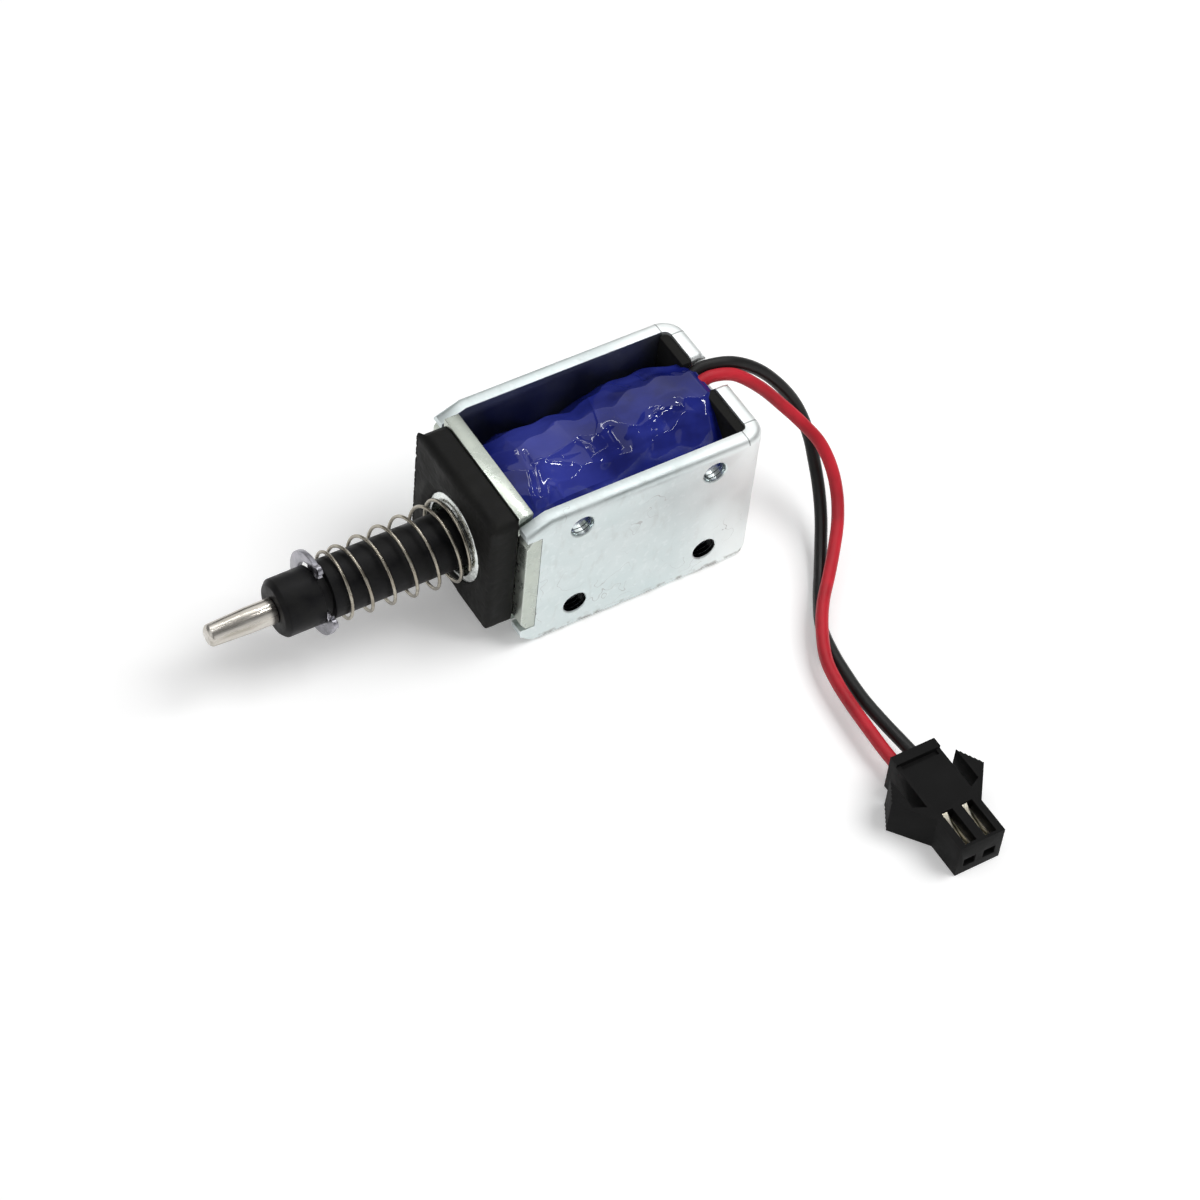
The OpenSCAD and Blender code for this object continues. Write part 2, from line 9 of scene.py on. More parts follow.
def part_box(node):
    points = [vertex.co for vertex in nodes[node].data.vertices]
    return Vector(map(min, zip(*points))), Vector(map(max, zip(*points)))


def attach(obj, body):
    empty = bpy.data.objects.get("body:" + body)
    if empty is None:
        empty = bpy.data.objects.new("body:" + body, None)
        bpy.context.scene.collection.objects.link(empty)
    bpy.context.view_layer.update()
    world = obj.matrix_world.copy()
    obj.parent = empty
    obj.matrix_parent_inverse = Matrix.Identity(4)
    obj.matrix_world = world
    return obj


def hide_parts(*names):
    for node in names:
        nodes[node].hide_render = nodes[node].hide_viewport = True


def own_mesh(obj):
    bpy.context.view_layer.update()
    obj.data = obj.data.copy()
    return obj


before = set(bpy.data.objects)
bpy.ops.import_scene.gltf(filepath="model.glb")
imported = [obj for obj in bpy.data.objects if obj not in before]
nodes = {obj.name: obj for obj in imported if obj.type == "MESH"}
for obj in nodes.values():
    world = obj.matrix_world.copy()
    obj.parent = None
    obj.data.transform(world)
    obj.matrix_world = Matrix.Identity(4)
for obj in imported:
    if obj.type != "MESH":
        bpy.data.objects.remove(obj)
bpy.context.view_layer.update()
scene = bpy.context.scene
mm = 0.001
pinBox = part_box("push_pin")
axisZ = (pinBox[0].z + pinBox[1].z) / 2    # height of the plunger's axis
print("frame loaded")


# ---- camera, floor and light ----

cameraSetup = {
    "place": (-0.13999, -0.21604, 0.30778),
    "right": (0.85370, -0.51541, 0.07446),
    "up": (0.35670, 0.68292, 0.63748),
    "back": (-0.37942, -0.51765, 0.76686),
    "lens": 110.16,
    "sensor": 36,
}
studio = {
    "ambient": 0.29,        # world light on the object
    "ambientGlossy": 0.22,  # what metal and plastic reflect of the tent above
    "lampFar": 0.9,
    "floorSize": 6,
    "floorColour": 0.95,    # shows the shadows
    "floorGlow": 0.24,      # with the colour above it comes to white
    "floorBounce": 0.80,
    "floorWhite": (0.15, 0.5),    # the glow grows to 1 between these distances
}
lamps = {    # seen: which rays meet the lamp
    "key": {"toward": (0.50, -0.25, 0.83), "size": (0.55, 0.55), "share": 0.65,
            "seen": "diffuse"},
    "softbox": {"toward": (0.38, 0.52, 0.77), "size": (0.85, 0.85), "share": 0.255,
                "seen": "glossy"},
    "overhead": {"toward": (-0.35, 0.10, 0.93), "size": (0.60, 0.60), "share": 0.12,
                 "seen": "both"},
    "rearStrip": {"toward": (0.10, 0.42, 0.90), "size": (0.50, 0.025),
                  "share": 0.07, "seen": "glossy"},
    "sideStrip": {"toward": (-0.10, -0.05, 0.99), "size": (0.03, 0.30),
                  "share": 0.05, "seen": "glossy"},
    "glint": {"toward": (0.38, 0.23, 0.89), "size": (0.07, 0.04), "share": 0.06,
              "seen": "glossy"},
    "lowGlint": {"toward": (0.38, -0.20, 0.90), "size": (0.12, 0.03),
                 "share": 0.06, "seen": "glossy"},
    "frontCard": {"toward": (0.35, -0.88, 0.28), "size": (1.2, 0.5), "share": 0.14,
                  "seen": "glossy"},
    "leftCard": {"toward": (-0.85, -0.15, 0.45), "size": (0.9, 0.7), "share": 0.13,
                 "seen": "glossy"},
}


def makeCamera(setup):
    data = bpy.data.cameras.new("camera")
    data.lens = setup["lens"]
    data.sensor_width = setup["sensor"]
    data.clip_start, data.clip_end = 0.01, 20
    camera = bpy.data.objects.new("camera", data)
    turn = Matrix((setup["right"], setup["up"], setup["back"])).transposed()
    camera.matrix_world = Matrix.Translation(setup["place"]) @ turn.to_4x4()
    scene.collection.objects.link(camera)
    scene.camera = camera


def makeLamp(name, lamp, far):
    data = bpy.data.lights.new(name, "AREA")
    data.shape = "RECTANGLE"
    data.size, data.size_y = lamp["size"]
    data.energy = lamp["share"] * math.pi ** 2 * far ** 2
    light = bpy.data.objects.new(name, data)
    toward = Vector(lamp["toward"]).normalized()
    light.location = toward * far
    light.rotation_euler = toward.to_track_quat("Z", "Y").to_euler()
    light.visible_diffuse = lamp["seen"] != "glossy"
    light.visible_glossy = lamp["seen"] != "diffuse"
    scene.collection.objects.link(light)


def addNode(tree, kind, inputs, operation=None):    # an input is a socket to link, or a value
    made = tree.nodes.new("ShaderNode" + kind)
    if operation:
        made.operation = operation
    for label, value in inputs.items():
        if isinstance(value, bpy.types.NodeSocket):
            tree.links.new(value, made.inputs[label])
        else:
            made.inputs[label].default_value = value
    return made


def addMath(tree, operation, *values):
    return addNode(tree, "Math", dict(enumerate(values)), operation).outputs[0]


def makeWorld(setup):
    world = bpy.data.worlds.new("tent")
    scene.world = world
    world.use_nodes = True
    tree = world.node_tree
    path = addNode(tree, "LightPath", {})
    glossy = addNode(tree, "MapRange", {    # ambient, or the glossy level
        "Value": path.outputs["Is Glossy Ray"], "To Min": setup["ambient"],
        "To Max": setup["ambientGlossy"]})
    shown = addMath(tree, "MAXIMUM", glossy.outputs["Result"], path.outputs["Is Camera Ray"])
    tree.links.new(shown, tree.nodes["Background"].inputs["Strength"])
    tree.nodes["Background"].inputs["Color"].default_value = (1, 1, 1, 1)


def makeFloor(setup):
    bpy.ops.mesh.primitive_plane_add(size=setup["floorSize"], location=(0, 0, 0))
    floor = bpy.context.object
    floor.name = "floor"
    material = bpy.data.materials.new("paleFloor")
    material.use_nodes = True
    tree = material.node_tree
    tree.nodes.remove(tree.nodes["Principled BSDF"])
    path = addNode(tree, "LightPath", {})
    seen = addMath(tree, "MAXIMUM", path.outputs["Is Camera Ray"], path.outputs["Is Glossy Ray"])
    seen = addMath(tree, "MAXIMUM", seen, path.outputs["Is Transmission Ray"])
    tone = addNode(tree, "MapRange", {
        "Value": seen, "To Min": setup["floorBounce"], "To Max": setup["floorColour"]})
    place = addNode(tree, "TexCoord", {}).outputs["Object"]
    length = addNode(tree, "VectorMath", {0: place}, "LENGTH")
    near, distant = setup["floorWhite"]
    far = addNode(tree, "MapRange", {"Value": length.outputs["Value"], "From Min": near,
                                     "From Max": distant, "To Min": setup["floorGlow"]})
    glow = addNode(tree, "MapRange", {"Value": seen, "To Max": far.outputs["Result"]})
    diffuse = addNode(tree, "BsdfDiffuse", {"Color": tone.outputs["Result"]})
    emission = addNode(tree, "Emission", {"Strength": glow.outputs["Result"]})
    both = addNode(tree, "AddShader", {0: diffuse.outputs[0], 1: emission.outputs[0]})
    tree.links.new(both.outputs[0], tree.nodes["Material Output"].inputs["Surface"])
    floor.data.materials.append(material)


makeCamera(cameraSetup)
makeWorld(studio)
makeFloor(studio)
for name, lamp in lamps.items():
    makeLamp(name, lamp, studio["lampFar"])
scene.view_settings.view_transform = "Standard"
print("camera, floor and light made")


# ---- shader groups that the finishes share ----

def makeGroup(name, inputs, outputs):
    tree = bpy.data.node_groups.new(name, "ShaderNodeTree")
    for label, kind, start in inputs:
        socket = tree.interface.new_socket(
            name=label, in_out="INPUT", socket_type="NodeSocket" + kind)
        if start is not None:
            socket.default_value = start
    for label, kind in outputs:
        tree.interface.new_socket(
            name=label, in_out="OUTPUT", socket_type="NodeSocket" + kind)
    return tree, tree.nodes.new("NodeGroupInput"), tree.nodes.new("NodeGroupOutput")


def addNoise(tree, place, scale, detail=2):
    return addNode(tree, "TexNoise", {
        "Vector": place, "Scale": scale, "Detail": detail}).outputs["Fac"]


def addSpan(tree, value, given):    # 0 at Low, 1 at High
    return addNode(tree, "MapRange", {"Value": value, "From Min": given.outputs["Low"],
                                      "From Max": given.outputs["High"]}).outputs["Result"]


def makeCloudGroup():    # soft patches, or streaks where Stretch is uneven
    tree, given, out = makeGroup("cloud", [
        ("Place", "Vector", None), ("Stretch", "Vector", (1, 1, 1)),
        ("Scale", "Float", 500), ("Detail", "Float", 3),
        ("Low", "Float", 0.4), ("High", "Float", 0.6)], [("Mask", "Float")])
    stretch = addNode(tree, "VectorMath", {
        0: given.outputs["Place"], 1: given.outputs["Stretch"]}, "MULTIPLY")
    noise = addNoise(tree, stretch.outputs[0], given.outputs["Scale"], given.outputs["Detail"])
    tree.links.new(addSpan(tree, noise, given), out.inputs["Mask"])
    return tree


def makeSpeckGroup():    # sparse round dots of dust
    tree, given, out = makeGroup("specks", [
        ("Place", "Vector", None), ("Scale", "Float", 500), ("Size", "Float", 0.2),
        ("Share", "Float", 0.1)], [("Mask", "Float")])
    cells = addNode(tree, "TexVoronoi", {
        "Vector": given.outputs["Place"], "Scale": given.outputs["Scale"]})
    split = addNode(tree, "SeparateColor", {0: cells.outputs["Color"]})
    small = addMath(tree, "LESS_THAN", cells.outputs["Distance"], given.outputs["Size"])
    chosen = addMath(tree, "LESS_THAN", split.outputs[0], given.outputs["Share"])
    tree.links.new(addMath(tree, "MULTIPLY", small, chosen), out.inputs["Mask"])
    return tree


def makeEdgeGroup():    # worn or bright edges, broken up by a fine noise
    tree, given, out = makeGroup("edges", [
        ("Place", "Vector", None), ("Radius", "Float", 0.0003),
        ("Scale", "Float", 900), ("Low", "Float", 0.02), ("High", "Float", 0.2)],
        [("Mask", "Float")])
    rounded = addNode(tree, "Bevel", {"Radius": given.outputs["Radius"]})
    rounded.samples = 4
    geometry = addNode(tree, "NewGeometry", {})
    dot = addNode(tree, "VectorMath", {
        0: rounded.outputs[0], 1: geometry.outputs["Normal"]}, "DOT_PRODUCT")
    turned = addMath(tree, "SUBTRACT", 1, dot.outputs["Value"])
    noise = addNoise(tree, given.outputs["Place"], given.outputs["Scale"])
    broken = addMath(tree, "MULTIPLY", turned, noise)
    tree.links.new(addSpan(tree, broken, given), out.inputs["Mask"])
    return tree


def makeGrainGroup():    # fine unevenness of the surface
    tree, given, out = makeGroup("grain", [
        ("Place", "Vector", None), ("Stretch", "Vector", (1, 1, 1)),
        ("Scale", "Float", 2000), ("Depth", "Float", 0.00001)], [("Normal", "Vector")])
    stretch = addNode(tree, "VectorMath", {
        0: given.outputs["Place"], 1: given.outputs["Stretch"]}, "MULTIPLY")
    bump = addNode(tree, "Bump", {
        "Height": addNoise(tree, stretch.outputs[0], given.outputs["Scale"], 3),
        "Distance": given.outputs["Depth"]})
    tree.links.new(bump.outputs["Normal"], out.inputs["Normal"])
    return tree


def makeLineGroup():    # a line where dot(Place, Across) is At, above Above and before x Before
    tree, given, out = makeGroup("lines", [
        ("Place", "Vector", None), ("Across", "Vector", (1, 0, 0)), ("At", "Float", 0),
        ("Width", "Float", 0.0001), ("Fade", "Float", 0.00001), ("Above", "Float", 0),
        ("Before", "Float", 1), ("Scale", "Float", 900), ("Low", "Float", -1),
        ("High", "Float", 0)], [("Mask", "Float")])
    place, width = given.outputs["Place"], given.outputs["Width"]
    dot = addNode(tree, "VectorMath", {0: place, 1: given.outputs["Across"]}, "DOT_PRODUCT")
    gap = addMath(tree, "SUBTRACT", dot.outputs["Value"], given.outputs["At"])
    line = addNode(tree, "MapRange", {    # 1 on the line, 0 beyond its fade
        "Value": addMath(tree, "ABSOLUTE", gap), "From Min": width,
        "From Max": addMath(tree, "ADD", width, given.outputs["Fade"]),
        "To Min": 1, "To Max": 0}).outputs["Result"]
    split = addNode(tree, "SeparateXYZ", {0: place})
    above = addMath(tree, "GREATER_THAN", split.outputs["Z"], given.outputs["Above"])
    before = addMath(tree, "LESS_THAN", split.outputs["X"], given.outputs["Before"])
    inside = addMath(tree, "MULTIPLY", above, before)
    noise = addNoise(tree, place, given.outputs["Scale"])
    whole = addMath(tree, "MULTIPLY", line, inside)
    broken = addMath(tree, "MULTIPLY", whole, addSpan(tree, noise, given))
    tree.links.new(broken, out.inputs["Mask"])
    return tree


def makeScribbleGroup():    # thin wandering scratches in a few patches
    tree, given, out = makeGroup("scribbles", [
        ("Place", "Vector", None), ("Scale", "Float", 400), ("Width", "Float", 0.006),
        ("Patches", "Float", 120), ("Low", "Float", 0.56), ("High", "Float", 0.6)],
        [("Mask", "Float")])
    noise = addNoise(tree, given.outputs["Place"], given.outputs["Scale"])
    patches = addNoise(tree, given.outputs["Place"], given.outputs["Patches"])
    level = addMath(tree, "COMPARE", noise, 0.5, given.outputs["Width"])
    both = addMath(tree, "MULTIPLY", level, addSpan(tree, patches, given))
    tree.links.new(both, out.inputs["Mask"])
    return tree


cloudGroup = makeCloudGroup()
grainGroup = makeGrainGroup()
maskGroups = {"cloud": cloudGroup, "specks": makeSpeckGroup(), "edges": makeEdgeGroup(),
              "lines": makeLineGroup(), "scribbles": makeScribbleGroup()}


def makeFinish(name, look):
    material = bpy.data.materials.new(name)
    material.use_nodes = True
    tree = material.node_tree
    surface = tree.nodes["Principled BSDF"]
    place = addNode(tree, "TexCoord", {}).outputs["Object"]

    def group(kind, **values):
        made = tree.nodes.new("ShaderNodeGroup")
        made.node_tree = kind
        tree.links.new(place, made.inputs["Place"])
        for label, value in values.items():
            made.inputs[label].default_value = value
        return made.outputs[0]

    def mixed(mask, below, above, amount=1):
        if amount < 1:
            mask = addMath(tree, "MULTIPLY", mask, amount)
        mix = tree.nodes.new("ShaderNodeMix")
        mix.data_type = "RGBA"
        tree.links.new(mask, mix.inputs["Factor"])
        for socket, value in ((mix.inputs[6], below), (mix.inputs[7], above)):
            if isinstance(value, tuple):
                socket.default_value = (*value, 1)
            else:
                tree.links.new(value, socket)
        return mix.outputs[2]

    first = group(cloudGroup, **look["cloud"])
    colour = mixed(first, look["colours"][0], look["colours"][1])
    for layer in look.get("layers", []):    # later layers lie on earlier ones
        mask = group(maskGroups[layer["kind"]], **layer["values"])
        colour = mixed(mask, colour, layer["colour"], layer.get("amount", 1))
    tree.links.new(colour, surface.inputs["Base Color"])

    least, most = look["rough"]
    rough = addNode(tree, "MapRange", {"Value": first, "To Min": least, "To Max": most})
    tree.links.new(rough.outputs["Result"], surface.inputs["Roughness"])
    tree.links.new(group(grainGroup, **look["grain"]), surface.inputs["Normal"])
    surface.inputs["Metallic"].default_value = look.get("metal", 0)
    surface.inputs["Specular IOR Level"].default_value = look.get("specular", 0.5)
    return material


bareZinc = {
    "metal": 1, "colours": [(0.64, 0.71, 0.71), (0.73, 0.79, 0.79)],
    "cloud": {"Scale": 240, "Detail": 5, "Low": 0.35, "High": 0.65},
    "grain": {"Scale": 1100, "Depth": 0.00001},
}
finishes = {
    "zinc": {
        **bareZinc, "rough": (0.42, 0.56),
        "layers": [
            {"kind": "cloud", "colour": (0.50, 0.52, 0.50), "amount": 0.22, "values": {
                "Stretch": (1, 1, 0.4), "Scale": 900, "Detail": 6, "Low": 0.56, "High": 0.68}},
            # painted light: a pale band lightens the rear end of the frame, fading out towards x =
            # 20 mm, standing in for a brighter reflection
            {"kind": "lines", "colour": (0.97, 0.99, 0.98), "amount": 0.7, "values": {
                "At": 0.031, "Width": 0.003, "Fade": 0.008}},
            {"kind": "cloud", "colour": (0.90, 0.94, 0.95), "amount": 0.22, "values": {
                "Scale": 1300, "Detail": 2, "Low": 0.56, "High": 0.68}},
            {"kind": "edges", "colour": (0.93, 0.97, 0.98), "amount": 0.7, "values": {
                "Radius": 0.0002, "Scale": 1500, "Low": 0.02, "High": 0.12}},
            {"kind": "specks", "colour": (0.12, 0.12, 0.12), "amount": 0.6, "values": {
                "Scale": 260, "Size": 0.06, "Share": 0.06}},
            {"kind": "scribbles", "colour": (0.34, 0.32, 0.31), "amount": 0.5, "values": {
                "Scale": 300, "Width": 0.004, "Patches": 110, "Low": 0.57, "High": 0.63}},
            # painted shade: the far wall's inner face is darkened, standing in for its dark
            # reflection of the coil
            {"kind": "lines", "colour": (0.10, 0.11, 0.17), "amount": 0.85, "values": {
                "Across": (0, 1, 0), "At": 0.0082, "Width": 0.00003, "Fade": 0.00004,
                "Before": 0.0284}},
            # painted shade: a broken darker band along the frame's bottom edge, where it meets the
            # floor
            {"kind": "lines", "colour": (0.34, 0.34, 0.32), "amount": 0.8, "values": {
                "Across": (0, 0, 1), "At": 0.0003, "Width": 0.0005, "Fade": 0.0004,
                "Low": 0.46, "High": 0.60}},
            {"kind": "lines", "colour": (0.20, 0.22, 0.22), "amount": 0.7, "values": {
                "At": 0.02845, "Width": 0.00007, "Above": 0.0186}},
            {"kind": "lines", "colour": (0.20, 0.22, 0.22), "amount": 0.7, "values": {
                "Across": (0, 1, 0), "At": -0.0074, "Width": 0.00007, "Above": 0.0186}},
            {"kind": "lines", "colour": (0.20, 0.22, 0.22), "amount": 0.7, "values": {
                "Across": (0, 1, 0), "At": 0.0074, "Width": 0.00007, "Above": 0.0186}}],
    },
    "threadZinc": {
        **bareZinc, "rough": (0.18, 0.30),
        # painted shade: the threads below z = 7 mm, in the lower holes, are darkened as if in
        # shadow
        "layers": [{"kind": "lines", "colour": (0.02, 0.02, 0.02), "amount": 0.95, "values": {
            "Across": (0, 0, 1), "At": 0.004, "Width": 0.003}}],
    },
    "plateZinc": {
        "metal": 1, "colours": [(0.46, 0.50, 0.45), (0.52, 0.56, 0.50)],
        "cloud": {"Scale": 500, "Detail": 4, "Low": 0.38, "High": 0.62},
        "rough": (0.24, 0.34), "grain": {"Scale": 1300, "Depth": 0.000005},
        "layers": [
            {"kind": "cloud", "colour": (0.72, 0.77, 0.72), "amount": 0.16, "values": {
                "Scale": 1500, "Detail": 3, "Low": 0.54, "High": 0.66}},
            {"kind": "edges", "colour": (0.92, 0.95, 0.92), "amount": 0.7, "values": {
                "Radius": 0.0002, "Scale": 1500, "Low": 0.01, "High": 0.1}}],
    },
    "seatSteel": {
        "metal": 1, "colours": [(0.66, 0.70, 0.67), (0.90, 0.93, 0.91)],
        "cloud": {"Scale": 1400, "Detail": 4, "Low": 0.36, "High": 0.62},
        "rough": (0.18, 0.34), "grain": {"Scale": 1800, "Depth": 0.00007},
        "layers": [{"kind": "edges", "colour": (0.94, 0.95, 0.94), "amount": 0.8, "values": {
            "Radius": 0.00015, "Scale": 3000, "Low": 0.02, "High": 0.12}}],
    },
    "springWire": {
        "metal": 1, "colours": [(0.30, 0.27, 0.22), (0.46, 0.43, 0.36)],
        "cloud": {"Scale": 900, "Detail": 3, "Low": 0.35, "High": 0.65},
        "rough": (0.20, 0.34), "grain": {"Scale": 4000, "Depth": 0.000006},
    },
    "blackOxide": {
        "colours": [(0.004, 0.004, 0.005), (0.010, 0.010, 0.010)],
        "cloud": {"Scale": 600, "Detail": 4, "Low": 0.35, "High": 0.65},
        "rough": (0.38, 0.56), "grain": {"Scale": 3200, "Depth": 0.000012},
        "specular": 0.15,
        "layers": [
            {"kind": "edges", "colour": (0.16, 0.15, 0.14), "amount": 0.5, "values": {
                "Radius": 0.0002, "Scale": 2600, "Low": 0.06, "High": 0.16}},
            {"kind": "specks", "colour": (0.20, 0.20, 0.19), "amount": 0.6, "values": {
                "Scale": 600, "Size": 0.09, "Share": 0.05}}],
    },
    "pinSteel": {
        "metal": 1, "colours": [(0.42, 0.39, 0.34), (0.74, 0.71, 0.66)],
        "cloud": {"Stretch": (0.12, 1, 1), "Scale": 1300, "Detail": 3, "Low": 0.32, "High": 0.68},
        "rough": (0.20, 0.34),
        "grain": {"Stretch": (0.1, 1, 1), "Scale": 4200, "Depth": 0.00001},
    },
    "clipSteel": {
        "metal": 1, "colours": [(0.26, 0.26, 0.29), (0.44, 0.43, 0.47)],
        "cloud": {"Scale": 800, "Detail": 4, "Low": 0.35, "High": 0.65},
        "rough": (0.24, 0.40), "grain": {"Scale": 2400, "Depth": 0.000012},
    },
    "rubber": {
        "colours": [(0.004, 0.004, 0.004), (0.009, 0.009, 0.008)],
        "cloud": {"Scale": 420, "Detail": 5, "Low": 0.30, "High": 0.70},
        "rough": (0.52, 0.68), "grain": {"Scale": 2200, "Depth": 0.00002},
        "specular": 0.17,
        "layers": [
            {"kind": "cloud", "colour": (0.026, 0.026, 0.023), "amount": 0.6, "values": {
                "Scale": 90, "Detail": 3, "Low": 0.46, "High": 0.64}},
            {"kind": "edges", "colour": (0.045, 0.045, 0.040), "amount": 0.5, "values": {
                "Radius": 0.0003, "Scale": 1800, "Low": 0.05, "High": 0.22}},
            {"kind": "specks", "colour": (0.26, 0.26, 0.22), "amount": 0.8, "values": {
                "Scale": 330, "Size": 0.13, "Share": 0.16}}],
    },
    "blackNylon": {
        "colours": [(0.008, 0.008, 0.007), (0.014, 0.014, 0.013)],
        "cloud": {"Scale": 700, "Detail": 3, "Low": 0.35, "High": 0.65},
        "rough": (0.70, 0.82), "grain": {"Scale": 2600, "Depth": 0.00001},
        "specular": 0.2,
    },
    "plugPlastic": {
        "colours": [(0.004, 0.004, 0.004), (0.007, 0.007, 0.007)],
        "cloud": {"Scale": 500, "Detail": 4, "Low": 0.32, "High": 0.68},
        "rough": (0.50, 0.66), "grain": {"Scale": 2800, "Depth": 0.000014},
        "specular": 0.12,
        "layers": [{"kind": "edges", "colour": (0.034, 0.034, 0.034), "amount": 0.6, "values": {
            "Radius": 0.00015, "Scale": 1500, "Low": 0.02, "High": 0.2}}],
    },
    "blueTape": {
        "colours": [(0.006, 0.010, 0.13), (0.012, 0.020, 0.22)],
        "cloud": {"Scale": 260, "Detail": 3, "Low": 0.35, "High": 0.65},
        "rough": (0.03, 0.06), "grain": {"Scale": 900, "Depth": 0.000008},
        "layers": [
            {"kind": "cloud", "colour": (0.035, 0.050, 0.34), "amount": 0.4, "values": {
                "Stretch": (0.35, 1, 1), "Scale": 420, "Detail": 2, "Low": 0.52, "High": 0.72}},
            # painted sheen: a lighter blue band across the top of the tape near x = 9.5 mm,
            # standing in for a broad reflection
            {"kind": "lines", "colour": (0.05, 0.065, 0.42), "amount": 0.5, "values": {
                "At": 0.0095, "Width": 0.0015, "Fade": 0.004, "Above": 0.016}},
            # painted shade: the tape's lower part, below z about 6 mm and fading out by 13 mm, is
            # darkened
            {"kind": "lines", "colour": (0.001, 0.001, 0.006), "amount": 0.9, "values": {
                "Across": (0, 0, 1), "At": 0.003, "Width": 0.003, "Fade": 0.007}}],
        "specular": 0.36,
    },
    "redPvc": {
        "colours": [(0.42, 0.007, 0.018), (0.58, 0.012, 0.028)],
        "cloud": {"Scale": 300, "Detail": 2, "Low": 0.35, "High": 0.65},
        "rough": (0.42, 0.54), "grain": {"Scale": 1400, "Depth": 0.000012},
        "specular": 0.4,
    },
    "blackPvc": {
        "colours": [(0.007, 0.007, 0.007), (0.012, 0.012, 0.012)],
        "cloud": {"Scale": 300, "Detail": 2, "Low": 0.35, "High": 0.65},
        "rough": (0.32, 0.44), "grain": {"Scale": 1400, "Depth": 0.000012},
        "specular": 0.3,
    },
    "tinnedBrass": {
        "metal": 1, "colours": [(0.62, 0.58, 0.46), (0.82, 0.79, 0.68)],
        "cloud": {"Scale": 1200, "Detail": 3, "Low": 0.35, "High": 0.65},
        "rough": (0.28, 0.42), "grain": {"Scale": 3000, "Depth": 0.000008},
    },
    "tubeBrass": {
        "metal": 1, "colours": [(0.55, 0.40, 0.17), (0.72, 0.56, 0.27)],
        "cloud": {"Stretch": (0.2, 1, 1), "Scale": 1200, "Detail": 3, "Low": 0.35, "High": 0.65},
        "rough": (0.22, 0.36), "grain": {"Scale": 3000, "Depth": 0.000006},
    },
    "coreSteel": {
        "metal": 1, "colours": [(0.50, 0.53, 0.53), (0.70, 0.73, 0.72)],
        "cloud": {"Scale": 900, "Detail": 4, "Low": 0.35, "High": 0.65},
        "rough": (0.28, 0.44), "grain": {"Scale": 2000, "Depth": 0.00002},
    },
    "shimBronze": {
        "metal": 1, "colours": [(0.48, 0.32, 0.18), (0.62, 0.44, 0.26)],
        "cloud": {"Scale": 900, "Detail": 3, "Low": 0.35, "High": 0.65},
        "rough": (0.28, 0.40), "grain": {"Scale": 2500, "Depth": 0.000006},
    },
    "copperWire": {
        "metal": 1, "colours": [(0.42, 0.16, 0.06), (0.66, 0.30, 0.13)],
        "cloud": {"Stretch": (8, 0.4, 0.4), "Scale": 800, "Detail": 2, "Low": 0.35, "High": 0.65},
        "rough": (0.22, 0.34),
        "grain": {"Stretch": (8, 0.3, 0.3), "Scale": 900, "Depth": 0.00005},
    },
    "jointSleeve": {
        "colours": [(0.30, 0.28, 0.22), (0.42, 0.39, 0.31)],
        "cloud": {"Scale": 700, "Detail": 3, "Low": 0.35, "High": 0.65},
        "rough": (0.45, 0.60), "grain": {"Scale": 2500, "Depth": 0.00001},
    },
}
finish = {name: makeFinish(name, look) for name, look in finishes.items()}
print("finishes made")


# ---- hand tools ----

def deselectAll():
    if bpy.context.object and bpy.context.object.mode != "OBJECT":
        bpy.ops.object.mode_set(mode="OBJECT")
    bpy.ops.object.select_all(action="DESELECT")


def takeUp(piece):
    deselectAll()
    piece.select_set(True)
    bpy.context.view_layer.objects.active = piece


def editAll(piece):
    takeUp(piece)
    bpy.ops.object.mode_set(mode="EDIT")
    bpy.ops.mesh.select_mode(type="VERT")
    bpy.ops.mesh.select_all(action="SELECT")


def placeIn(piece):    # the object goes to the origin and its place into its mesh
    takeUp(piece)
    bpy.ops.object.transform_apply(location=True, rotation=True, scale=True)


def applyModifier(piece, kind, **settings):
    takeUp(piece)
    made = piece.modifiers.new("work", kind)
    for name, value in settings.items():
        setattr(made, name, value)
    bpy.ops.object.modifier_apply(modifier=made.name)


def roundEdges(piece, width, segments=3, angle=30):
    applyModifier(piece, "BEVEL", width=width * mm, segments=segments,
                  limit_method="ANGLE", angle_limit=math.radians(angle),
                  use_clamp_overlap=True)


def smooth(piece, angle=35):
    takeUp(piece)
    bpy.ops.object.shade_smooth_by_angle(angle=math.radians(angle))


def dress(piece, name, finishName, body="housing", stands=()):
    piece.name = piece.data.name = name
    piece.data.materials.clear()
    piece.data.materials.append(finish[finishName])
    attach(piece, body)
    if stands:
        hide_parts(*stands)
    return piece


def copyOf(node):    # a merged copy of a CAD node, to be refined
    piece = bpy.data.objects.new("work", nodes[node].data.copy())
    scene.collection.objects.link(piece)
    takeUp(piece)
    bpy.ops.mesh.customdata_custom_splitnormals_clear()
    editAll(piece)
    bpy.ops.mesh.remove_doubles(threshold=1e-6)
    bpy.ops.mesh.dissolve_limited(angle_limit=math.radians(0.6))
    bpy.ops.object.mode_set(mode="OBJECT")
    return piece


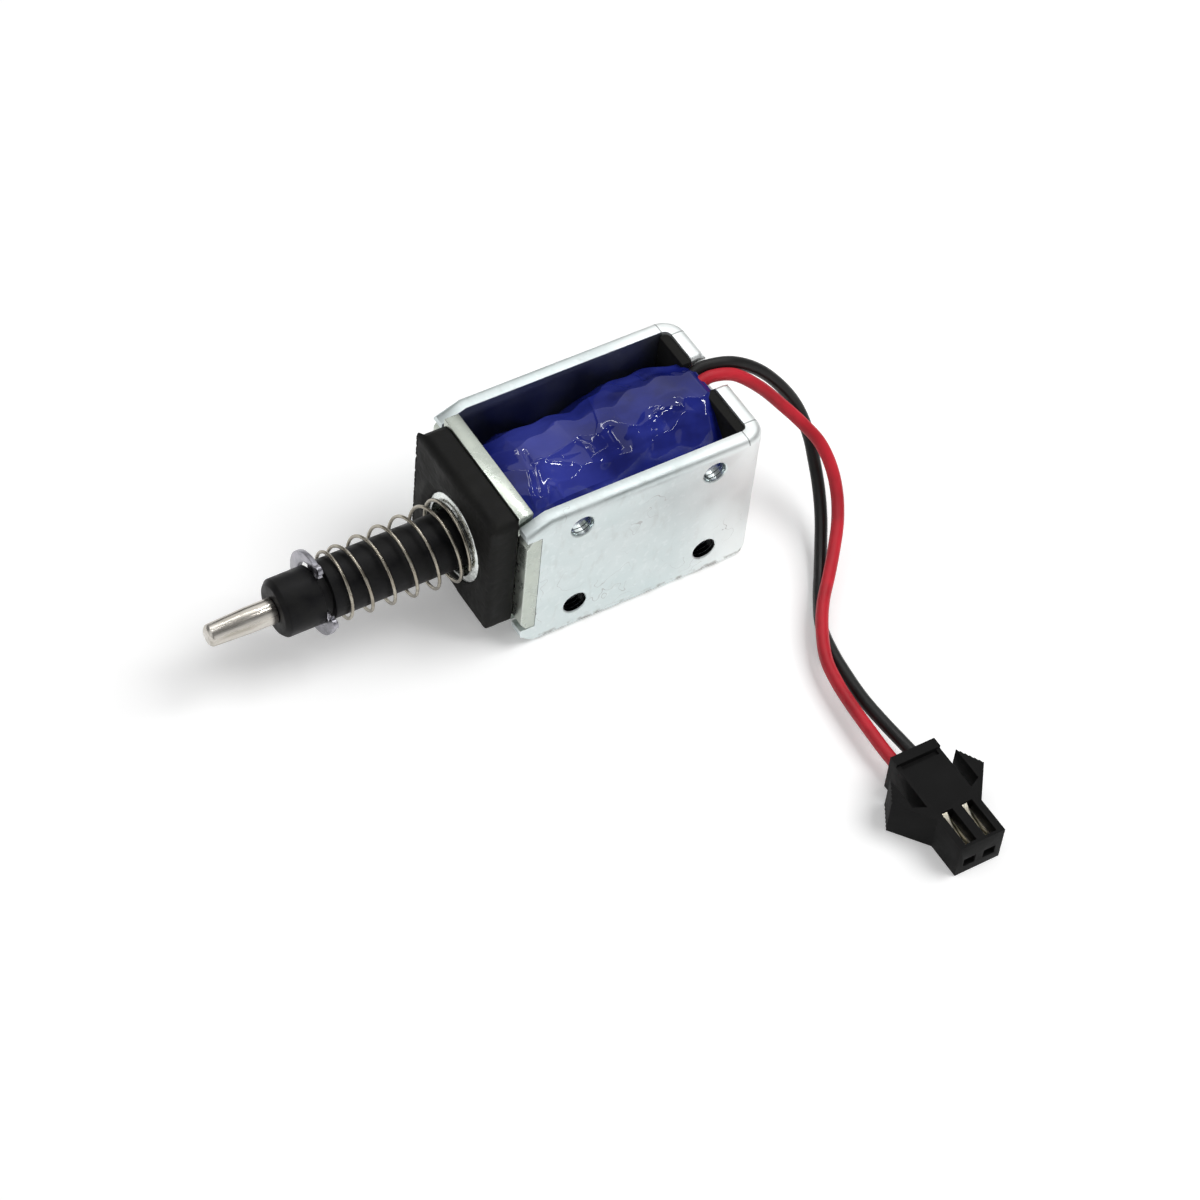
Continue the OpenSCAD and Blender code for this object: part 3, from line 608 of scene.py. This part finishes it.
def turnOnLathe(profile, segments=96, closed=False):
    # profile: (x, radius) in mm about the plunger's axis; open ends are filled
    x, r = profile[0]
    deselectAll()
    bpy.ops.mesh.primitive_circle_add(vertices=segments, radius=r * mm,
                                      location=(x * mm, 0, axisZ),
                                      rotation=(0, math.pi / 2, 0))
    piece = bpy.context.object
    placeIn(piece)
    editAll(piece)
    steps = profile[1:] + (profile[:1] if closed else [])
    for nextX, nextR in steps:
        bpy.ops.mesh.extrude_region_move(
            TRANSFORM_OT_translate={"value": ((nextX - x) * mm, 0, 0)})
        if nextR != r:
            bpy.ops.transform.resize(value=(1, nextR / r, nextR / r),
                                     center_override=(nextX * mm, 0, axisZ))
        x, r = nextX, nextR
    bpy.ops.mesh.select_all(action="SELECT")
    bpy.ops.mesh.remove_doubles(threshold=1e-7)
    if not closed:
        bpy.ops.mesh.fill_holes(sides=0)
        bpy.ops.mesh.select_all(action="SELECT")
    bpy.ops.mesh.normals_make_consistent(inside=False)
    bpy.ops.object.mode_set(mode="OBJECT")
    return piece


def smoothRoute(points, steps):    # Catmull-Rom curve through the points, in metres
    route = []
    for i in range(len(points) - 1):
        a, b, c, d = (Vector(points[k]) for k in (
            max(i - 1, 0), i, i + 1, min(i + 2, len(points) - 1)))
        for s in range(steps):
            t = s / steps
            route.append(0.5 * (2 * b + (c - a) * t + (2 * a - 5 * b + 4 * c - d) * t * t
                                + (3 * b - a - 3 * c + d) * t ** 3) * mm)
    return route + [Vector(points[-1]) * mm]


def drawTube(route, radius, sides=4):
    data = bpy.data.curves.new("work", "CURVE")
    data.dimensions = "3D"
    line = data.splines.new("POLY")
    line.points.add(len(route) - 1)
    for point, place in zip(line.points, route):
        point.co = (*place, 1)
    data.bevel_depth = radius
    data.bevel_resolution = sides
    data.use_fill_caps = True
    piece = bpy.data.objects.new("work", data)
    scene.collection.objects.link(piece)
    takeUp(piece)
    bpy.ops.object.convert(target="MESH")
    editAll(piece)
    bpy.ops.mesh.remove_doubles(threshold=1e-7)
    bpy.ops.mesh.normals_make_consistent(inside=False)
    bpy.ops.object.mode_set(mode="OBJECT")
    smooth(piece, 50)
    return piece


# ---- leads ----

# the routes of the source, in mm
leadWire = {"diameter": 1.45, "steps": 8, "black": [
    (27.8, 2.3, 17.73), (28.6, 2.3, 17.82), (30.3, 2.3, 18.4), (33.3, 1.6, 18.3),
    (36.3, 0.7, 16.7), (38.7, -0.6, 14.3), (40.4, -2.2, 11.5), (41, -4.3, 8.7),
    (40.8, -6.4, 6.2), (40.1, -8.8, 4.3), (38.9, -11.4, 2.8), (37.3, -14, 1.8),
    (35.4, -16.9, 1.1), (33.3, -20, 0.8), (31.4, -23.4, 0.8), (30.4, -27, 1), (29.8, -30.8, 1.3),
    (29.4, -34.4, 1.7), (29.4, -38, 2), (29.6, -41.4, 2.2), (29.85, -44.2, 2.2),
    (29.85, -46.4, 2.2)], "red": [
    (27.8, 0.71, 18.02), (28.6, 0.71, 18.08), (30.4, 0.7, 18.4), (33, 0.1, 17.9),
    (35.6, -1.3, 16), (37.7, -2.9, 13.7), (39.5, -4.8, 11.6), (40.8, -6.8, 9.7),
    (41.1, -9.1, 7.7), (40.5, -11.5, 6), (39.2, -13.9, 4.6), (37.3, -16.3, 3.6),
    (35.1, -18.8, 2.9), (32.6, -21.5, 2.5), (30.5, -24.5, 2.3), (28.8, -27.9, 2), (28, -31.3, 2),
    (27.6, -34.8, 2.1), (27.4, -38.2, 2.2), (27.3, -41.4, 2.2), (27.35, -44.2, 2.2),
    (27.35, -46.4, 2.2)]}


def makeLead(colour, finishName, wire):
    route = smoothRoute(wire[colour], wire["steps"])
    lead = drawTube(route, wire["diameter"] * mm / 2, 5)
    dress(lead, colour + "Lead", finishName, stands=[colour + "_lead"])
    length = sum((b - a).length for a, b in zip(route, route[1:]))
    return lead, route, length


redLead, redRoute, redLength = makeLead("red", "redPvc", leadWire)
blackLead, blackRoute, blackLength = makeLead("black", "blackPvc", leadWire)
print("leads made:", round(redLength / mm, 1), "and", round(blackLength / mm, 1), "mm")


# ---- plug and terminals ----

plugLook = {"round": 0.07, "terminalRound": 0.03, "mouthLow": 1.1, "mouthHigh": 2.35,
            "mouthZ": (1.2, 1.9, 2.6), "noseY": -56.4,
            "lance": {"wide": 0.7, "tip": 0.2, "thick": 0.15, "left": -0.64, "rear": (-52.45, 4.4),
                      "front": (-55.5, 3.2)}, "waysX": {"red": 27.35, "black": 29.85}}


def makeLance(x, look):    # the sprung strip that locks a terminal in its window
    bpy.ops.mesh.primitive_cube_add(size=1)
    lance = bpy.context.object
    left = x + look["left"]
    for v in lance.data.vertices:
        y, z = look["rear"] if v.co.y > 0 else look["front"]
        wide = look["wide"] if v.co.y > 0 else look["tip"]
        v.co = Vector((left + (wide if v.co.x > 0 else 0), y,
                       z - (0 if v.co.z > 0 else look["thick"]))) * mm
    return lance


def makePlug(look):
    shell = copyOf("plug_housing")
    low, middle, high = look["mouthZ"]
    for v in shell.data.vertices:    # taller mouths in the nose
        y, z = v.co.y / mm, v.co.z / mm
        if y < look["noseY"] and low < z < high:
            v.co.z = look["mouthLow" if z < middle else "mouthHigh"] * mm
    roundEdges(shell, look["round"], 2, 20)
    smooth(shell)
    dress(shell, "plugShell", "plugPlastic", stands=["plug_housing"])
    fitted = [shell]
    for colour in ("red", "black"):
        terminal = copyOf(colour + "_terminal")
        deselectAll()
        lance = makeLance(look["waysX"][colour], look["lance"])
        takeUp(lance)
        terminal.select_set(True)
        bpy.context.view_layer.objects.active = terminal
        bpy.ops.object.join()
        roundEdges(terminal, look["terminalRound"], 1, 30)
        smooth(terminal)
        fitted.append(dress(terminal, colour + "Terminal", "tinnedBrass",
                            stands=[colour + "_terminal"]))
    return fitted


plugPieces = makePlug(plugLook)
print("plug made")


# ---- bent frame and front plate ----

frameLook = {"round": 0.14, "roundSteps": 2, "outerRound": 0.75, "outerSteps": 5, "noseRound": 0.6,
             "outerY": 10, "outerX": 31.05, "bend": 2.6, "holes": [(7.75, 3.9), (24.25, 3.9),
             (7.75, 16.4), (24.25, 16.4)], "holeR": 1.25, "threadR": 1.5,
             "wallOuter": -10, "wallInner": -8.2, "pitch": 0.5, "ridge": 0.22, "sunk": 0.2,
             "shorter": 0.3, "turnSteps": 40, "near": 0.02, "aroundHole": 1.8, "frontX": 0.95,
             "tabs": 2.5, "slotX": 2.8, "slotZ": (2.8, 17.2), "nose": (0.97, 9.2, 18.4)}


def isOuterEdge(edge, look):    # the pressed-out edges of the strip, which are rounder
    near = look["near"]
    normals = [face.normal for face in edge.link_faces]
    if edge.calc_face_angle(0) < math.radians(60) or max(abs(n.z) for n in normals) < 0.3:
        return False
    front = abs(edge.verts[0].co.x / mm - look["frontX"]) < look["tabs"]
    if front and any(n.x < -0.9 for n in normals):
        return False    # the tabs' front ends stay sharp
    for v in edge.verts:
        x, y, z = v.co / mm
        y, bendX, bendY = abs(y), look["outerX"] - look["bend"], look["outerY"] - look["bend"]
        if x > bendX and y > bendY:
            if abs(math.hypot(x - bendX, y - bendY) - look["bend"]) > 2 * near:
                return False
        elif abs(y - look["outerY"]) > near and abs(x - look["outerX"]) > near:
            return False
        if any(math.hypot(x - a, z - b) < look["aroundHole"] for a, b in look["holes"]):
            return False
        if x < look["slotX"] and any(abs(z - side) < near for side in look["slotZ"]):
            return False    # the slot of the front plate
    return True


def makeFrame(look):
    noseX, noseY, noseZ = look["nose"]
    shell = copyOf("frame")
    editAll(shell)
    mesh = bmesh.from_edit_mesh(shell.data)
    for x, z in look["holes"]:    # the drilled wall opens to the thread's outer diameter
        bpy.ops.mesh.select_all(action="DESELECT")
        for v in mesh.verts:
            away = math.hypot(v.co.x / mm - x, v.co.z / mm - z)
            v.select = away < look["holeR"] + 0.05 and v.co.y < -0.007
        mesh.select_flush(True)
        bmesh.update_edit_mesh(shell.data)
        wider = look["threadR"] / look["holeR"]
        bpy.ops.transform.resize(value=(wider, 1, wider),
                                 center_override=(x * mm, 0, z * mm))
    mesh = bmesh.from_edit_mesh(shell.data)
    bpy.ops.mesh.select_mode(type="EDGE")
    bpy.ops.mesh.select_all(action="DESELECT")
    for edge in mesh.edges:
        edge.select = isOuterEdge(edge, look)
    bmesh.update_edit_mesh(shell.data)
    bpy.ops.mesh.bevel(offset=look["outerRound"] * mm, segments=look["outerSteps"],
                       affect="EDGES", clamp_overlap=False)
    mesh = bmesh.from_edit_mesh(shell.data)
    bpy.ops.mesh.select_all(action="DESELECT")
    for edge in mesh.edges:    # the far wall's front end turns down roundly
        ends = [v.co / mm for v in edge.verts]
        edge.select = (all(e.x < noseX and e.y > noseY and e.z > noseZ for e in ends)
                       and edge.calc_face_angle(0) > math.radians(40))
    bmesh.update_edit_mesh(shell.data)
    bpy.ops.mesh.bevel(offset=look["noseRound"] * mm, segments=3, affect="EDGES",
                       clamp_overlap=True)
    bpy.ops.object.mode_set(mode="OBJECT")
    roundEdges(shell, look["round"], look["roundSteps"], 40)
    smooth(shell, 40)
    return dress(shell, "bentFrame", "zinc", stands=["frame"])


def makeThreads(look):
    turns = int((look["wallInner"] - look["wallOuter"] - look["shorter"]) / look["pitch"])
    steps = look["turnSteps"] * turns
    rods = []
    for x, z in look["holes"]:
        deselectAll()
        bpy.ops.mesh.primitive_circle_add(vertices=3, radius=look["ridge"] * mm, location=(
            x * mm, (look["wallOuter"] + look["sunk"]) * mm, z * mm))
        ridge = bpy.context.object
        editAll(ridge)
        bpy.ops.transform.rotate(value=math.radians(90), orient_axis="Z",
                                 center_override=ridge.location)
        bpy.ops.transform.translate(value=((look["holeR"] + look["sunk"]) * mm, 0, 0))
        bpy.ops.object.mode_set(mode="OBJECT")
        applyModifier(ridge, "SCREW", axis="Y", steps=steps, render_steps=steps, iterations=1,
                      angle=2 * math.pi * turns,
                      screw_offset=turns * look["pitch"] * mm)
        placeIn(ridge)
        editAll(ridge)
        bpy.ops.mesh.fill_holes(sides=0)
        bpy.ops.mesh.select_all(action="SELECT")
        bpy.ops.mesh.normals_make_consistent(inside=False)
        bpy.ops.object.mode_set(mode="OBJECT")
        rods.append(ridge)
    deselectAll()
    for ridge in rods:
        ridge.select_set(True)
    bpy.context.view_layer.objects.active = rods[0]
    bpy.ops.object.join()
    threads = bpy.context.object
    smooth(threads, 30)
    return dress(threads, "wallThreads", "threadZinc")


makeFrame(frameLook)
makeThreads(frameLook)
plateLook = {"tongueBelow": 2, "tongueZ": 2.6, "round": 0.12}
plate = copyOf("front_plate")
for v in plate.data.vertices:    # the tongue between the walls ends above the foot
    if v.co.z < plateLook["tongueBelow"] * mm:
        v.co.z = plateLook["tongueZ"] * mm
roundEdges(plate, plateLook["round"], 2, 28)
smooth(plate)
dress(plate, "frontPlate", "plateZinc", stands=["front_plate"])
print("frame and plate made")


# ---- pad, spring ring and spring ----

padLook = {"voxel": 0.14, "rough": 0.04, "ragged": 0.22, "front": 1.2, "side": 0.7, "sag": 0.6,
           "farCorner": 1.9, "nearCorner": 1.0, "frontLoss": 0.6, "frontDeep": 0.6,
           "sagHeight": 3, "raggedWide": 0.5, "raggedShift": (9, 2, 5)}


def roundCorner(a, b, radius):    # a, b: how far a point lies past the corner's centre, in mm
    reach = math.hypot(a, b)
    if a <= 0 or b <= 0 or reach <= radius:
        return a, b
    return a * radius / reach, b * radius / reach


def makePad(look):
    pad = copyOf("rubber_pad")
    applyModifier(pad, "REMESH", mode="VOXEL", voxel_size=look["voxel"] * mm)
    applyModifier(pad, "SMOOTH", iterations=1, factor=0.5)
    low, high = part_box("rubber_pad")
    for v in pad.data.vertices:    # the soft block's corners, rounded
        x, y, z = v.co / mm
        top, far, front = high.z / mm, high.y / mm, low.x / mm
        near, side = look["nearCorner"], look["side"]
        deep = look["frontDeep"]
        loss = look["frontLoss"] * max(0, min(1, (deep - x + front) / deep))
        away = look["farCorner"] * (1 - loss)
        y, z = (b + c for b, c in zip(roundCorner(y - far + away, z - top + away, away),
                                      (far - away, top - away)))
        b, z = roundCorner(-y - far + near, z - top + near, near)
        y, z = -b - far + near, z + top - near
        a, z = roundCorner(front + look["front"] - x, z - top + look["front"], look["front"])
        x, z = front + look["front"] - a, z + top - look["front"]
        a, b = roundCorner(front + side - x, -y - far + side, side)
        x, y = front + side - a, -b - far + side
        z -= look["sag"] * max(0, 1 - (z - low.z / mm) / look["sagHeight"])
        v.co = Vector((x, y, z)) * mm
    pad.data.update()
    normals = [v.normal.copy() for v in pad.data.vertices]
    for v, normal in zip(pad.data.vertices, normals):
        p = v.co / mm
        swell = noise.noise(p * 1.3) * look["rough"] + noise.noise(p * 4.0) * look["rough"] * 0.5
        edge = abs(v.co.y - high.y) / mm
        if edge < look["raggedWide"]:    # the cut edge is ragged
            moved = p * 2.6 + Vector(look["raggedShift"])
            swell += (noise.noise(moved) + noise.noise(p * 6) * 0.4) * look["ragged"]
        v.co += normal * min(swell, 0) * mm
    smooth(pad, 60)
    return dress(pad, "bufferPad", "rubber", stands=["rubber_pad"])


springLook = {"wire": 0.4, "frontR": 3.8, "seatR": 4.6, "length": 14.45, "pitch": 2.6,
              "seatTurns": 0.84, "seatRise": 0.58, "frontTurns": 0.75, "frontRise": 0.34,
              "startTurn": 183, "steps": 48, "keep": 0.417}


def makeSpring(look):
    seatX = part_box("spring_seat")[0].x / mm
    wire, run = look["wire"], look["length"] - look["wire"]
    seatTurns, frontTurns = look["seatTurns"], look["frontTurns"]
    turns = seatTurns + frontTurns + (
        run - look["seatRise"] - look["frontRise"]) / look["pitch"]
    count = math.ceil(turns * look["steps"])
    path = []
    for i in range(count + 1):
        n = turns * i / count
        if n < seatTurns:
            back = n * look["seatRise"] / seatTurns
        elif n > turns - frontTurns:
            back = run - (turns - n) * look["frontRise"] / frontTurns
        else:
            back = look["seatRise"] + (n - seatTurns) * look["pitch"]
        r = look["seatR"] + (look["frontR"] - look["seatR"]) * back / run
        turn = math.radians(look["startTurn"] - 360 * n)
        path.append(Vector(((seatX - wire / 2 - back) * mm, r * math.cos(turn) * mm,
                            axisZ + r * math.sin(turn) * mm)))
    spring = drawTube(path, wire / 2 * mm, 3)
    dress(spring, "returnSpring", "springWire", stands=["return_spring"])
    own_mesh(spring)


ringLook = {"bore": 4.3, "flange": 5.2, "sleeve": 4.6, "cone": 0.4, "thick": 0.3, "round": 0.1,
            "lip": 0.13, "dents": ((2.5, 0.03), (7, 0.02)), "sunk": 0.02}


def makeRing(look):
    low, high = (corner.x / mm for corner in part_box("spring_seat"))
    flare = low + look["cone"]
    ring = turnOnLathe([(high, look["bore"]), (low, look["bore"]), (flare, look["flange"]),
                        (flare + look["thick"], look["flange"]),
                        (low + look["thick"] + look["lip"], look["sleeve"]),
                        (high, look["sleeve"])], 120, closed=True)
    roundEdges(ring, look["round"], 3, 15)
    normals = [v.normal.copy() for v in ring.data.vertices]
    for v, normal in zip(ring.data.vertices, normals):
        p = v.co / mm
        dent = sum(noise.noise(p * often) * deep for often, deep in look["dents"])
        v.co += normal * (dent - look["sunk"]) * mm
    smooth(ring, 50)
    return dress(ring, "springRing", "seatSteel", stands=["spring_seat"])


makePad(padLook)
makeRing(ringLook)
makeSpring(springLook)
print("pad, ring and spring made")


# ---- plunger, pin and clip ----

plungerLook = {"r": 3.3, "chamfer": 0.5, "grooveR": 2.55, "grooveLow": 4.7,
               "grooveWide": 1.1, "cone": 3, "coneFlat": 1.0, "shankR": 1.02, "socket": 5,
               "round": 0.12}


def makePlunger(look):
    low, high = (corner.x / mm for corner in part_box("plunger"))
    r, groove = look["r"], low + look["grooveLow"]
    rod = turnOnLathe([
        (low + look["socket"], look["shankR"]), (low, look["shankR"]),
        (low, r - look["chamfer"]), (low + look["chamfer"], r),
        (groove, r), (groove, look["grooveR"]), (groove + look["grooveWide"], look["grooveR"]),
        (groove + look["grooveWide"], r), (high - look["cone"], r), (high, look["coneFlat"])])
    roundEdges(rod, look["round"], 3, 25)
    smooth(rod, 50)
    return dress(rod, "plungerRod", "blackOxide", "plunger_group", ["plunger"])


pinLook = {"tipR": 1.25, "r": 1.45, "taper": 4.8, "out": 7.78, "shankR": 1,
           "chamfer": 0.3, "round": 0.12}


def makePin(look):
    low, high = (corner.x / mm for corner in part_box("push_pin"))
    tip, r, c = look["tipR"], look["r"], look["chamfer"]
    pin = turnOnLathe([(low, tip - c), (low + c, tip), (low + look["taper"], r),
                       (low + look["out"], r), (low + look["out"], look["shankR"]),
                       (high, look["shankR"])], 64)
    roundEdges(pin, look["round"], 3, 25)
    smooth(pin, 50)
    return dress(pin, "pushPin", "pinSteel", "plunger_group", ["push_pin"])


makePlunger(plungerLook)
makePin(pinLook)
clip = copyOf("e_clip")
roundEdges(clip, 0.1, 2, 28)
smooth(clip)
dress(clip, "retainingClip", "clipSteel", "plunger_group", ["e_clip"])
print("plunger, pin and clip made")


# ---- coil: bobbin and tape ----

bobbin = copyOf("bobbin")
roundEdges(bobbin, 0.12, 2, 28)
smooth(bobbin)
dress(bobbin, "coilBobbin", "blackNylon", stands=["bobbin"])

tapeLook = {
    "rings": 220, "segments": 360, "skin": 0.4, "inner": 7.3, "eye": 5.0, "sideR": 8.1,
    "soft": 0.04, "crush": ((4.6, 3, 0.07), (1.9, 8, 0.012)), "endDrop": 0.5,
    "frontSlope": 0.28, "fold": 0.2, "foldWide": 0.4, "limitY": 8.15, "limitZ": 19.15,
    "least": 7.75, "aroundR": 8.4,
}
# flat strips of the tape: the turn its normal has, then (x, distance from the axis) in mm
tapeFlats = [
    (12, [(2.7, 8.1), (29, 8.1)]),
    (38, [(2.7, 8.5), (5.5, 8.57), (6.9, 8.6), (8.6, 8.44), (10.8, 8.22), (12.6, 8.1),
          (14.4, 7.98), (15.7, 8.35), (17, 8.73), (18.1, 9.08), (19.2, 9.44), (20.3, 9.41),
          (21.6, 9.29), (23.2, 9.21), (25.1, 9.22), (27.3, 8.85), (29, 8.7)]),
    (64, [(2.7, 8.7), (6.3, 8.75), (11.5, 8.7), (13.8, 8.62), (17.4, 9.3), (19.2, 9.55),
          (23.4, 9.42), (29, 9.5)]),
    (88, [(2.7, 8.62), (6.1, 8.72), (9.6, 8.68), (12.2, 8.55), (15.1, 8.95), (17.8, 9.48),
          (21.3, 9.44), (25.6, 9.5), (29, 9.55)]),
    (110, [(2.7, 8.4), (5.4, 8.56), (8.8, 8.5), (12.9, 8.4), (16.2, 8.85), (18.9, 9.25),
           (22.4, 9.2), (25.2, 9.42), (29, 9.5)]),
    (133, [(2.7, 8.2), (5.3, 8.35), (9.4, 8.22), (13.5, 8.25), (17.1, 8.6), (20.2, 8.85),
           (24.1, 8.75), (29, 8.8)]),
    (158, [(2.7, 8.1), (15, 8.1), (20, 8.2), (29, 8.2)]),
]
# folds pressed into the tape: height in mm, width in mm, then (x, turn in degrees)
tapeFolds = [
    (0.09, 0.16, [(17.1, 59), (16.3, 75), (15.7, 88), (14.6, 96)]),
    (0.11, 0.18, [(6.6, 96), (8.5, 98), (10.7, 95), (12.4, 92), (13.6, 100), (13.7, 105)]),
    (0.09, 0.15, [(8.3, 100), (10.9, 108), (11.4, 112)]),
    (0.07, 0.14, [(10.2, 101), (12.1, 102)]),
    (0.09, 0.15, [(13.3, 109), (14.8, 108)]),
    (0.11, 0.18, [(17.5, 105), (18.1, 101), (19.3, 104), (21.1, 101)]),
    (0.08, 0.14, [(21.7, 99), (22.9, 95), (24.0, 92)]),
    (0.10, 0.16, [(21.8, 99), (23.4, 98), (24.9, 101), (26.2, 91), (26.5, 98), (27.0, 101)]),
    (0.08, 0.15, [(26.7, 72), (27.5, 79), (28.0, 78)]),
    (0.14, 0.18, [(6.3, 128), (7.2, 117), (7.8, 120), (8.2, 129)]),
    (0.11, 0.16, [(4.8, 114), (4.7, 122), (4.8, 128)]),
    (-0.30, 0.90, [(16.3, 98), (16.4, 112), (14.3, 122)]),
    (-0.20, 0.70, [(20.4, 109), (19.7, 121)]),
    (-0.15, 0.30, [(23.9, 55), (23.7, 66)]),
    (-0.13, 0.30, [(20.7, 56), (21.3, 67)]),
]
tapeRidge = [(30, 7.0), (37, 6.9), (50, 6.3), (71, 6.1), (89, 6.1), (102, 5.8), (115, 5.3),
             (129, 4.85), (145, 4.6)]    # (turn, x) of the fold round the front
tapeEnd = [(40, 28.03), (50, 28.03), (62, 29.0), (100, 29.0), (112, 28.03), (140, 28.03)]


def smoothStep(a, b, value):
    t = np.clip((value - a) / (b - a), 0, 1)
    return t * t * (3 - 2 * t)


def awayFromLine(px, py, line):
    best = np.full(px.shape, 1e9)
    for (ax, ay), (bx, by) in zip(line, line[1:]):
        dx, dy = bx - ax, by - ay
        t = np.clip(((px - ax) * dx + (py - ay) * dy) / (dx * dx + dy * dy), 0, 1)
        best = np.minimum(best, np.hypot(px - ax - t * dx, py - ay - t * dy))
    return best


def crumple(px, py, size, seed):    # flat triangles with corners at random heights
    px, py = px / size, py / size
    skewX, skewY = px + (px + py) * 0.366, py + (px + py) * 0.366
    cellX, cellY = np.floor(skewX), np.floor(skewY)
    fx, fy = skewX - cellX, skewY - cellY

    def height(ax, ay):
        value = np.sin(ax * 127.1 + ay * 311.7 + seed * 74.7) * 43758.5453
        return (value - np.floor(value)) * 2 - 1

    upper = fx > fy
    middle = np.where(upper, height(cellX + 1, cellY), height(cellX, cellY + 1))
    most, least = np.maximum(fx, fy), np.minimum(fx, fy)
    return (height(cellX, cellY) * (1 - most) + middle * (most - least)
            + height(cellX + 1, cellY + 1) * least)


def spreadTurns(turn):    # most of the mesh's segments go to the side that shows
    share = (turn % 360) / 360
    return np.interp(share, [0, 0.15, 0.85, 1], [-95, 20, 150, 265])


def makeTape(look, flats, folds, ridge, end):
    low, high = (corner.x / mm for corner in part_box("coil_tape"))
    rings = [low + (high - low) * i / look["rings"] for i in range(look["rings"] + 1)]
    profile = [(low, look["eye"]), (low, 6.0), (low, 7.0)]
    profile += [(x, look["sideR"]) for x in rings]
    profile += [(high, look["inner"]), (low + look["skin"], look["inner"]),
                (low + look["skin"], look["eye"])]
    tape = turnOnLathe(profile, look["segments"], closed=True)
    place = np.array([v.co for v in tape.data.vertices], float) / mm
    x, y, z = place[:, 0], place[:, 1], place[:, 2] - axisZ / mm
    radius = np.hypot(y, z)
    turn = spreadTurns(np.degrees(np.arctan2(z, y)))
    skin = radius > look["sideR"] - 0.1
    x = np.where(x > 20, x + (np.interp(turn, *zip(*end)) - high) * smoothStep(22, high, x), x)
    around = np.radians(turn) * look["aroundR"]    # distance round the coil
    warpX = x + np.sin(around * 1.1) * 0.5 + np.sin(x * 0.7 + around * 0.6) * 0.4
    warpY = around + np.sin(x * 0.9) * 0.5
    crushed = sum(crumple(warpX, warpY, *c[:2]) * c[2] for c in look["crush"])
    swung = turn + np.sin(x * 0.55 + 1) * 4 + np.sin(x * 1.5 + 2) * 2.2
    rise = np.full(x.shape, 1e9)
    for normal, line in flats:
        away = np.radians(swung - normal)
        flat = np.interp(x, *zip(*line)) / np.maximum(np.cos(away), 0.2)
        flat = np.where(np.abs(away) < 1.2, flat, 99)
        near = np.clip(0.5 + 0.5 * (flat - rise) / look["soft"], 0, 1)
        rise = flat + (rise - flat) * near - look["soft"] * near * (1 - near)
    rise = np.where((turn < 0) | (turn > 172), look["sideR"], np.minimum(rise, 12))
    top = smoothStep(5, 35, turn) * (1 - smoothStep(150, 172, turn))
    foldX = np.interp(turn, *zip(*ridge))
    rise -= np.clip(foldX - x, 0, 4) * look["frontSlope"] * top
    behind = np.exp(-((x - foldX - 0.45) / look["foldWide"]) ** 2)
    rise -= behind * look["fold"] * smoothStep(80, 90, turn) * (1 - smoothStep(115, 125, turn))
    rise += crushed * (0.15 + 0.85 * top)
    rise -= look["endDrop"] * smoothStep(1.3, 0, np.interp(turn, *zip(*end)) - x) ** 2 * top
    for height, width, line in folds:
        path = [(a, math.radians(b) * look["aroundR"]) for a, b in line]
        away = awayFromLine(x, around, path)
        rise += height * np.exp(-np.abs(away) / width) if height > 0 else \
            height * np.exp(-(away / width) ** 2)
    rise = np.where(skin, np.maximum(rise, look["least"]), radius)
    newY, newZ = rise * np.cos(np.radians(turn)), rise * np.sin(np.radians(turn))
    newY = np.clip(newY, -look["limitY"], look["limitY"])
    newZ = np.minimum(newZ, look["limitZ"] - axisZ / mm)
    for v, a, b, c in zip(tape.data.vertices, x, newY, newZ):
        v.co.x, v.co.y, v.co.z = a * mm, b * mm, c * mm + axisZ
    smooth(tape, 60)
    return dress(tape, "coilTape", "blueTape", stands=["coil_tape"])


makeTape(tapeLook, tapeFlats, tapeFolds, tapeRidge, tapeEnd)
print("coil made")


# ---- CAD nodes that show as they are ----

keptNodes = {
    "guide_tube": "tubeBrass", "fixed_core": "coreSteel", "core_shim": "shimBronze",
    "coil_winding": "copperWire", "red_lead_joint": "jointSleeve",
    "black_lead_joint": "jointSleeve",
}
for name, finishName in keptNodes.items():
    for holder in nodes[name].material_slots:
        holder.material = finish[finishName]
